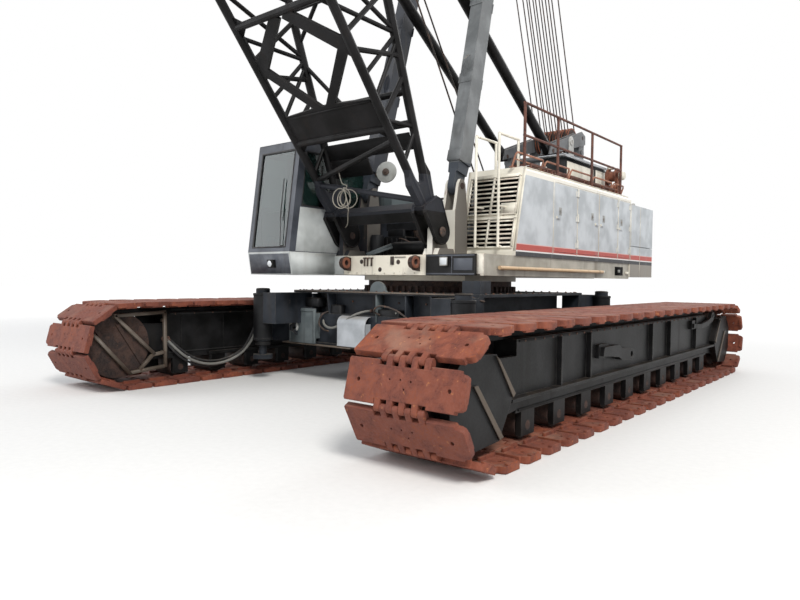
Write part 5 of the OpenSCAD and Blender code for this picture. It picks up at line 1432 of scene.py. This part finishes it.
for name, turn_over in (("left", lambda part: part), ("right", mirrored)):
    flange = [box((3.298, -3.30, z), (3.312, 3.30, z + 0.022), 0.003) for z in (0.375, 1.030)]
    flange += [box((2.688, -3.30, z), (2.702, 3.30, z + 0.022), 0.003) for z in (0.44, 1.030)]
    flange += [box((2.690, y, 0.46), (2.702, y + 0.014, 1.03), 0.002) for y in np.linspace(-3.1, 3.1, 9)]
    piece("frame_flanges_" + name, [turn_over(f) for f in flange], frame_black_and_shade, "carbody")
    bolts = [heads(row((x, -3.2, 1.041), (x, 3.2, 1.041), count), out, 0.013, 0.010)
             for x, count, out in ((3.311, 34, X), (2.689, 20, -X))]
    piece("frame_bolts_" + name, [turn_over(b) for b in bolts], dark_bolt, "carbody")

# %% [markdown]
# On the inner side of each frame, at its front, a guard of bars keeps stones off the hoses:
# two sloping bars, an upright, a bent middle bar and a step below.

# %% Guards of the inner sides
guard_lines = [[(-4.493, 0.794), (-3.961, 0.194)], [(-4.196, 1.045), (-3.587, 0.457)],
               [(-3.42, 1.077), (-3.41, 0.246)], [(-4.196, 1.045), (-3.408, 1.076)],
               [(-3.961, 0.213), (-3.425, 0.263)], [(-3.824, 0.243), (-3.619, 0.445)],
               [(-3.619, 0.445), (-3.425, 0.474)]]
stone_guard = [bar((-2.62, y0, z0), (-2.62, y1, z1), X, 0.05, 0.05, 0.006)
               for (y0, z0), (y1, z1) in guard_lines]
stone_guard += [bar((-2.62, y, z), (-2.70, y, z), Z, 0.05, 0.05, 0.006)
                for y, z in ((-3.42, 0.95), (-3.42, 0.47))]
piece("stone_guard_right", stone_guard, guard_paint, "carbody")
piece("stone_guard_left", [mirrored(b) for b in stone_guard], guard_paint, "carbody")

# %% [markdown]
# The upper run of each track slides on a skid, a long low box on top of its frame, and a
# web closes the frame's nose behind the front wheel.

# %% Skids and nose webs
skid = boxes((-3.16, -3.70, 1.045, -2.84, 3.70, 1.128, 0.01), (-3.16, -3.86, 1.02, -2.84, -3.68, 1.10, 0.01))
skid += boxes((-2.70, -4.22, 1.03, -2.68, -3.30, 1.135, 0.003),
              (-3.05, -3.62, 0.16, -3.03, -3.28, 0.40, 0.003))
skid += [box((-2.84, y, 1.05), (-2.83, y + 0.012, 1.12), 0.002) for y in np.linspace(-3.4, 3.4, 15)]
nose = [pushed([(-3.66, 0.46), (-3.20, 0.36), (-3.20, 1.10), (-3.66, 1.10)], -3.05, -3.03, side_plane,
               (0, 0, 0), 0.002)]
for name, turn_over in (("right", lambda part: part), ("left", mirrored)):
    piece("skid_" + name, [turn_over(p) for p in skid + nose], frame_black_and_shade, "carbody")
print("undercarriage pieces", [k for k in made if "frame" in k or "jack" in k])


# %% [markdown]
# ## Ropes and drums
# The boom hoist rope runs to and fro between six sheaves on the mast and six on the
# gantry. Twelve straight lines lie on the two common tangents of the sheaves, and half
# turns close them. Each line has a ring at either end only. The lines ride on no body;
# the half turns at the head ride on the mast, those at the bail on the upper works.

# %% Boom hoist ropes
head, bail = mast_foot[1:] + 9.36 * mast_up[1:], np.array([4.19, 4.59])
rope_r, groove = 0.0125, 0.2225
run = unit(bail - head)
square = np.array([-run[1], run[0]])
sheave_x = -0.3375 + 0.135 * np.arange(6)


def at_x(x, yz):
    """A place from its x and its (y, z)."""
    return np.array([x, *yz])


falls = []
for x in sheave_x:
    for s in (-1, 1):
        off = s * groove * square
        falls.append(tube([at_x(x, head + off), at_x(x, bail + off)], rope_r, 8))
hoist_falls = piece("boom_hoist_falls", falls, rope_steel, None, smooth=60)
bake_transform(hoist_falls)
half = np.linspace(-math.pi / 2, math.pi / 2, 13)
for wire, centre, far, body in (("head_wraps", head, -1, "mast"), ("bail_wraps", bail, 1, "upper")):
    turns = [tube([at_x(x, centre + groove * (far * math.cos(a) * run + math.sin(a) * square))
                   for a in half], rope_r, 8) for x in sheave_x]
    piece(wire, turns, rope_steel, body, smooth=60)

# %% [markdown]
# The sheaves get what a plain disc lacks: raised rims, as thin turned rings on both sides
# of each groove.

# %% Rims of the sheaves
sheave_rim = [(0.195, 0.0), (0.232, 0.006), (0.240, 0.012), (0.236, 0.020), (0.195, 0.018), (0.195, 0.0)]


def sheave_rims(centre, body, name):
    """Both rims of all six sheaves on one shaft."""
    rims = []
    for x in sheave_x:
        for s in (-1, 1):
            rims.append(open_ring(sheave_rim, (x + s * 0.016, *centre), (s, 0, 0), 40))
    return piece(name, rims, shoe_rust_plain, body, smooth=40)


sheave_rims(bail, "upper", "bail_sheave_rims")
sheave_rims(head, "mast", "mast_sheave_rims")

# %% [markdown]
# A wound drum is a turned profile of ridges, one for each turn of rope: the radius is
# the layer's, plus a wave with the rope's width as its length.

# %% Rope on the drums
def wound(name, centre, radius, width, rope, body):
    """A layer of rope on a drum: radius + rope/2 |cos| along its width, closed at both ends by the core."""
    along = np.linspace(-width / 2, width / 2, int(width / rope) * 6 + 1)
    ridge = radius + rope * (0.5 * np.abs(np.cos(np.pi * (along + width / 2) / rope)) - 0.5)
    profile = np.vstack([[(0.0005, -width / 2)], np.column_stack([ridge, along]), [(0.0005, width / 2)]])
    return piece(name, [turned(profile, centre, X, 40)], rope_steel, body, smooth=70)


winding = 0.872
wound("front_winding", (0, 0.35, 2.56), 0.392, winding, 0.030, "front_drum")
wound("rear_winding", (0, 1.65, 2.56), 0.378, winding, 0.030, "rear_drum")
wound("hoist_winding", (0, 2.45, 2.45), 0.255, winding, 0.026, "boom_hoist_drum")

# %% [markdown]
# Each hoist rope climbs from the rear of its drum to a small roller, and runs free from
# there to a guide sheave on the back of the boom, which it follows to the tip. The rollers
# keep both ropes above the drums when the boom is down. One more rope feeds the gantry.

# %% Hoist ropes
guide_at, groove_gap, drum_z, boom_length = 20.2, 0.052, 2.56, 21.3
roller_line = [(0.0005, -0.06), (0.055, -0.06), (0.055, -0.045), (0.035, -0.03), (0.035, 0.03),
               (0.055, 0.045), (0.055, 0.06), (0.0005, 0.06)]
hoists = (("front", 0.30, 0.35, 0.40, 0.12, 3.10), ("rear", -0.22, 1.65, 0.386, -0.12, 3.14))
rollers = []
for name, x, drum_y, drum_r, x_top, roller_z in hoists:
    start, end = at_x(x, (drum_y + drum_r, roller_z)), on_boom(x_top, 0.68, guide_at)
    lead = piece("hoist_rope_" + name, [tube([start, end], 0.014, 10)], rope_steel, None, smooth=60)
    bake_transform(lead)
    piece("drum_lead_" + name, [tube([at_x(x, (drum_y + drum_r, drum_z)), start], 0.014, 10)], rope_steel,
          "upper", smooth=60)
    hub_at = start - [0, groove_gap, groove_gap]
    rollers.append(turned(roller_line, hub_at, X, 20))
    rollers.append(tube([at_x(end_x, hub_at[1:]) for end_x in (-0.84, 0.0, 0.82)], 0.020, 12))
    rollers.append(box((-0.87, hub_at[1] - 0.05, 3.045), (-0.81, hub_at[1] + 0.05, hub_at[2] + 0.03)))
piece("rope_rollers", rollers, drum_steel, "upper", smooth=40)
feed = [at_x(0.1, (2.45 + 0.262, 2.45)), at_x(0.1, (bail[0] - 0.22, bail[1]))]
piece("hoist_feed", [tube(feed, 0.0125, 8)], rope_steel, "upper", smooth=60)
guide_line = [(0.0005, -0.030), (0.13, -0.030), (0.13, -0.018), (0.105, -0.006), (0.105, 0.006),
              (0.13, 0.018), (0.13, 0.030), (0.0005, 0.030)]
guides = [turned(guide_line, on_boom(x, 0.56, guide_at), X, 36) for x in (-0.12, 0.12)]
guides.append(tube([on_boom(x, 0.56, guide_at) for x in (-0.44, 0.0, 0.44)], 0.03, 14))
piece("rope_guides", guides, shoe_rust_plain, "boom", smooth=40)
tip = [tube([on_boom(x, 0.68, guide_at), on_boom(x, -0.34, boom_length + 0.03)], 0.014, 8)
       for x in (-0.12, 0.12)]
piece("tip_leads", tip, rope_steel, "boom", smooth=60)
print("rope pieces", [k for k in made if "rope" in k or "winding" in k])


# %% [markdown]
# ## Roof, right side and rear
# The roof carries low leaning foot rails, a locker with pale panels under a sheet cover,
# and a small winch at its rear end. The locker's walls are black as painted shade, for the
# dark gap under the cover. Each foot rail is a bent tube on two feet.

# %% Foot rails along the edge of the roof
roof = 3.25
foot_x0, rail_lean, rail_top, rail_step = 1.555, 0.075, 0.210, 0.925
rails = []
for y0 in -0.42 + rail_step * np.arange(5):
    y1 = min(y0 + 0.85, 3.80)
    hoop = [(foot_x0, y0, roof - 0.005), (foot_x0 + 0.85 * rail_lean, y0, roof + 0.85 * rail_top),
            (foot_x0 + rail_lean, y0 + 0.03, roof + rail_top),
            (foot_x0 + rail_lean, y1 - 0.03, roof + rail_top),
            (foot_x0 + 0.85 * rail_lean, y1, roof + 0.85 * rail_top), (foot_x0, y1, roof - 0.005)]
    rails.append(tube(hoop, 0.015, 8))
    mid_x = foot_x0 + 0.55 * rail_lean
    rails.append(tube([(mid_x, y, roof + 0.115) for y in (y0, (y0 + y1) / 2, y1)], 0.010, 8))
    rails += [box((foot_x0 - 0.03, y - 0.03, roof - 0.002), (foot_x0 + 0.03, y + 0.03, roof + 0.008), 0.002)
              for y in (y0, y1)]
piece("foot_rails", rails, foot_rust, "upper", smooth=50)

# %% Cover over the roof's locker, and the pale panels
cover = boxes((0.79, 1.86, roof + 0.565, 1.32, 3.86, roof + 0.585),
              (0.79, 1.86, roof + 0.540, 0.80, 3.86, roof + 0.570, 0.002),
              (1.31, 1.86, roof + 0.540, 1.32, 3.86, roof + 0.570, 0.002))
cover += [box((x, y, roof + 0.53), (x + 0.03, y + 0.03, roof + 0.567), 0.003) for x in (0.86, 1.21)
          for y in (2.0, 2.9, 3.74)]
piece("roof_cover", cover, panel_grey, "upper")
# Black walls round the pale panels: painted shade for the dark gap under the cover.
locker = boxes((1.245, 1.95, roof + 0.002, 1.258, 3.82, roof + 0.545, 0.003),
               (0.835, 1.95, roof + 0.002, 0.848, 3.82, roof + 0.545, 0.003),
               (0.840, 1.945, roof + 0.225, 1.255, 1.958, roof + 0.545, 0.003),
               (0.840, 3.812, roof + 0.002, 1.255, 3.825, roof + 0.545, 0.003))
piece("roof_locker", locker, black_box, "upper")
panels = [box((1.256, y0, roof + 0.16), (1.268, y1, roof + z1), 0.004)
          for y0, y1, z1 in ((2.05, 3.20, 0.485), (3.31, 3.80, 0.50))]
panels += [box((0.825, y0, roof + 0.16), (0.837, y1, roof + 0.485), 0.004)
           for y0, y1 in ((2.05, 3.20), (3.31, 3.80))]
piece("roof_box_panels", panels, cream, "upper")

# %% A small winch on the roof's rear end
winch_at = np.array([1.47, 3.66, roof + 0.40])
spool_line = [(0.0005, -0.10), (0.15, -0.10), (0.155, -0.09), (0.155, -0.07), (0.10, -0.06), (0.10, 0.06),
              (0.155, 0.07), (0.155, 0.09), (0.15, 0.10), (0.0005, 0.10)]
spool = [turned(spool_line, winch_at, X, 28)]
spool += boxes((1.34, 3.52, roof - 0.002, 1.60, 3.80, roof + 0.03, 0.006),
               (1.345, 3.56, roof + 0.02, 1.365, 3.76, roof + 0.46, 0.006),
               (1.575, 3.56, roof + 0.02, 1.595, 3.76, roof + 0.46, 0.006),
               (1.365, 3.54, roof + 0.03, 1.575, 3.62, roof + 0.22, 0.01))
piece("roof_winch", spool, rail_rust, "upper", smooth=35)
motor_line = [(0.0005, 0), (0.075, 0), (0.085, 0.01), (0.085, 0.07), (0.07, 0.095), (0.03, 0.105),
              (0.0005, 0.105)]
brake_line = [(0.0005, 0), (0.06, 0), (0.065, 0.01), (0.065, 0.05), (0.0005, 0.055)]
motor = [turned(motor_line, winch_at + [0.13, 0, 0], X, 24),
         turned(brake_line, winch_at + [-0.05, 0, 0.14], Z, 20)]
piece("roof_winch_motor", motor, cream, "upper", smooth=40)

# %% [markdown]
# A pale plate with an eye stands on each outer side of the gantry, for its raising ropes.
# It is an outline with a round head, and the eye is a raised ring on it.

# %% Eye plates of the gantry
head_turn = np.radians(np.linspace(-20, 200, 14))
round_head = np.column_stack([0.11 * np.cos(head_turn), 0.06 + 0.11 * np.sin(head_turn)])
plate_line = np.vstack([[(0.13, -0.24)], round_head, [(-0.10, -0.24)]])
for side, name in ((1, "left"), (-1, "right")):
    x0 = 0.598 if side > 0 else -0.618
    eye = open_ring([(0.035, 0.0), (0.075, 0.0), (0.075, 0.012), (0.040, 0.014), (0.035, 0.0)],
                    (side * 0.617, 3.62, 4.42), (side, 0, 0), 24)
    piece("gantry_eye_" + name, [pushed(plate_line, x0, x0 + 0.020, side_plane, (0, 3.62, 4.36), 0.003), eye],
          pale_metal, "upper", smooth=40)

# %% [markdown]
# The tank house on the right has four service doors with hinges and catches, a vent of
# slats, and two filler caps and treads on top. None of its far side shows in the
# photograph, so it is kept to what such machines have there.

# %% Doors and vent of the tank house
right_x, doors_y = -1.770, [(-0.22, 0.66), (0.72, 1.66), (1.72, 2.66), (2.72, 3.72)]
side_doors, hinges, levers = [], [], []
for y0, y1 in doors_y:
    side_doors.append(box((right_x - 0.006, y0, 2.05), (right_x + 0.002, y1, 2.98), 0.003))
    hinges += [tube([(right_x - 0.005, y1 - 0.012, z + up) for up in (0, 0.03, 0.06)], 0.007, 10)
               for z in (2.15, 2.80)]
    levers += boxes((right_x - 0.009, y0 + 0.05, 2.50, right_x - 0.004, y0 + 0.13, 2.58, 0.002),
                    (right_x - 0.010, y0 + 0.06, 2.532, right_x - 0.006, y0 + 0.12, 2.548, 0.002))
piece("tank_doors", side_doors, house_side, "upper")
piece("tank_hinges", hinges, rail_rust, "upper", smooth=50)
piece("tank_catches", levers, grey_disc, "upper")
vent = [box((right_x - 0.0095, 0.80, z), (right_x - 0.004, 1.58, z + 0.022), 0.002)
        for z in np.linspace(2.14, 2.84, 16)]
piece("tank_vent", vent, panel_grey, "upper")
filler_cap = [(0.0005, 0), (0.075, 0), (0.078, 0.01), (0.078, 0.035), (0.06, 0.05), (0.02, 0.054),
              (0.0005, 0.054)]
caps = [turned(filler_cap, (-1.2, y, 3.047), Z, 24) for y in (0.4, 3.1)]
caps += boxes((-1.66, -0.1, 3.048, -1.60, 3.7, 3.058, 0.002), (-0.92, -0.1, 3.048, -0.86, 3.7, 3.058, 0.002))
caps += [box((-1.60, y, 3.049), (-0.92, y + 0.03, 3.056), 0.002) for y in np.linspace(0.0, 3.6, 13)]
piece("tank_top", caps, rail_rust, "upper", smooth=40)

# %% [markdown]
# At the rear are the two slabs of the counterweight. Lifting eyes stand on the upper one,
# straps hold the slabs together, and a lamp sits low on each corner.

# %% Counterweight
eye_line = [(0.035, -0.018), (0.085, -0.018), (0.090, -0.008), (0.090, 0.008), (0.085, 0.018),
            (0.035, 0.018), (0.035, -0.018)]
eyes = []
for x in (-1.45, 1.45):
    for y in (4.08, 4.86):
        eyes += [open_ring(eye_line, (x, y, 3.165), X, 28),
                 box((x - 0.05, y - 0.12, 3.108), (x + 0.05, y + 0.12, 3.122), 0.003)]
piece("lifting_eyes", eyes, pale_metal, "upper", smooth=40)
straps = [box((x, 5.118, 1.76), (x + 0.10, 5.127, 3.06), 0.003) for x in (-0.75, 0.65)]
straps += [box((-1.74, 5.118, z), (1.74, 5.125, z + 0.03), 0.002) for z in (1.73, 2.265, 2.33, 3.06)]
piece("rear_straps", straps, panel_grey, "upper")
nuts = [heads([(x + 0.05, 5.127, z) for z in (1.84, 2.20, 2.40, 2.98)], Y, 0.022, 0.006)
        for x in (-0.75, 0.65)]
piece("rear_nuts", nuts, dark_bolt, "upper")
for side in (-1, 1):
    name = "left" if side > 0 else "right"
    spot = np.array([side * 1.52, 5.119, 2.02])
    rim = box(spot - [0.105, 0.002, 0.055], spot + [0.105, 0.006, 0.055], 0.003)
    glass = box(spot - [0.092, 0.0, 0.043], spot + [0.092, 0.009, 0.043], 0.003)
    piece("tail_rim_" + name, [rim], dark_bolt, "upper")
    piece("tail_lens_" + name, [glass], red_lens, "upper")

# %% Fittings of the deck's left edge
fittings = [box((1.748, y - 0.05, 1.755), (1.79, y + 0.05, 1.805), 0.008) for y in (0.62, 2.50, 3.70)]
fittings += [box((1.749, 1.30 + k * 0.055, 1.757), (1.775, 1.335 + k * 0.055, 1.80), 0.006) for k in range(3)]
piece("deck_brackets", fittings, cream, "upper")
piece("deck_hatch", [box((1.749, 3.12, 1.73), (1.754, 3.52, 1.89), 0.002)], louvre_dark, "upper")
piece("deck_hatch_catch", [box((1.752, 3.26, 1.785), (1.762, 3.36, 1.835), 0.004)], grey_disc, "upper")
print("roof and rear pieces", len(made))

# %% [markdown]
# A pale floor and soft lamps. The floor and the world show white to the camera, to glossy
# and to clear surfaces, while the lamps that fall on the machine stay at a plain level.

# %% Floor, world and lamps
def seen_white(tree):
    """1 for the camera's rays and those off gloss or through glass, 0 for the rays of light itself."""
    path = tree.nodes.new("ShaderNodeLightPath")
    return Wire(tree, path.outputs["Is Camera Ray"]).math(
        "MAXIMUM", Wire(tree, path.outputs["Is Glossy Ray"])).math(
        "MAXIMUM", Wire(tree, path.outputs["Is Transmission Ray"]))


world = bpy.data.worlds.new("studio")
scene.world = world
world.use_nodes = True
sky = world.node_tree.nodes["Background"]
grey = seen_white(world.node_tree).mixed((0.62, 0.64, 0.68, 1), (1, 1, 1, 1))
world.node_tree.links.new(grey.socket, sky.inputs["Color"])
sky.inputs["Strength"].default_value = 1.0

floor_part = (np.array([[-90, -90, 0], [90, -90, 0], [90, 90, 0], [-90, 90, 0]], float),
              [np.array([[0, 1, 2, 3]])])
floor = bpy.data.objects.new("floor", mesh_of("floor", floor_part))
ground = Surface("floor_paint")
grain = ground.noise(14.0, 4.0)
away = (ground.x ** 2.0 + ground.y ** 2.0) ** 0.5
far = away.ramp(9.0, 26.0)
pale_floor = far.mixed(grain.mixed(paint(222, 221, 218), paint(232, 231, 228)), (0, 0, 0, 1))
glow = far.mixed((0, 0, 0, 1), (1, 1, 1, 1))
floor.data.materials.append(ground.finish(pale_floor, 0.9, 0.0, grain, 0.001, Emission_Strength=1.0))
ground.tree.links.new(glow.socket, ground.shader.inputs["Emission Color"])
scene.collection.objects.link(floor)
floor.location.z = -0.001


def lamp(name, place, target, size, power, colour=(1, 1, 1)):
    """A square area lamp that looks from its place to its target."""
    light = bpy.data.objects.new(name, bpy.data.lights.new(name, "AREA"))
    light.data.size, light.data.energy, light.data.color = size, power, colour
    light.location = place
    light.rotation_euler = (Vector(target) - Vector(place)).to_track_quat("-Z", "Y").to_euler()
    scene.collection.objects.link(light)


lamp("key", (16, -13, 20), (0, 0, 2), 7, 5200, (1, 0.98, 0.95))
lamp("fill", (-16, -16, 11), (0, 0, 2), 12, 1500, (0.95, 0.97, 1))
lamp("back", (2, 24, 16), (0, 0, 3), 12, 2200)
scene.view_settings.view_transform = "Standard"

# %% [markdown]
# The last step prints how many pieces were made, and their faces.

# %% Counts and end
print("pieces", len(made), "faces", sum(made.values()))
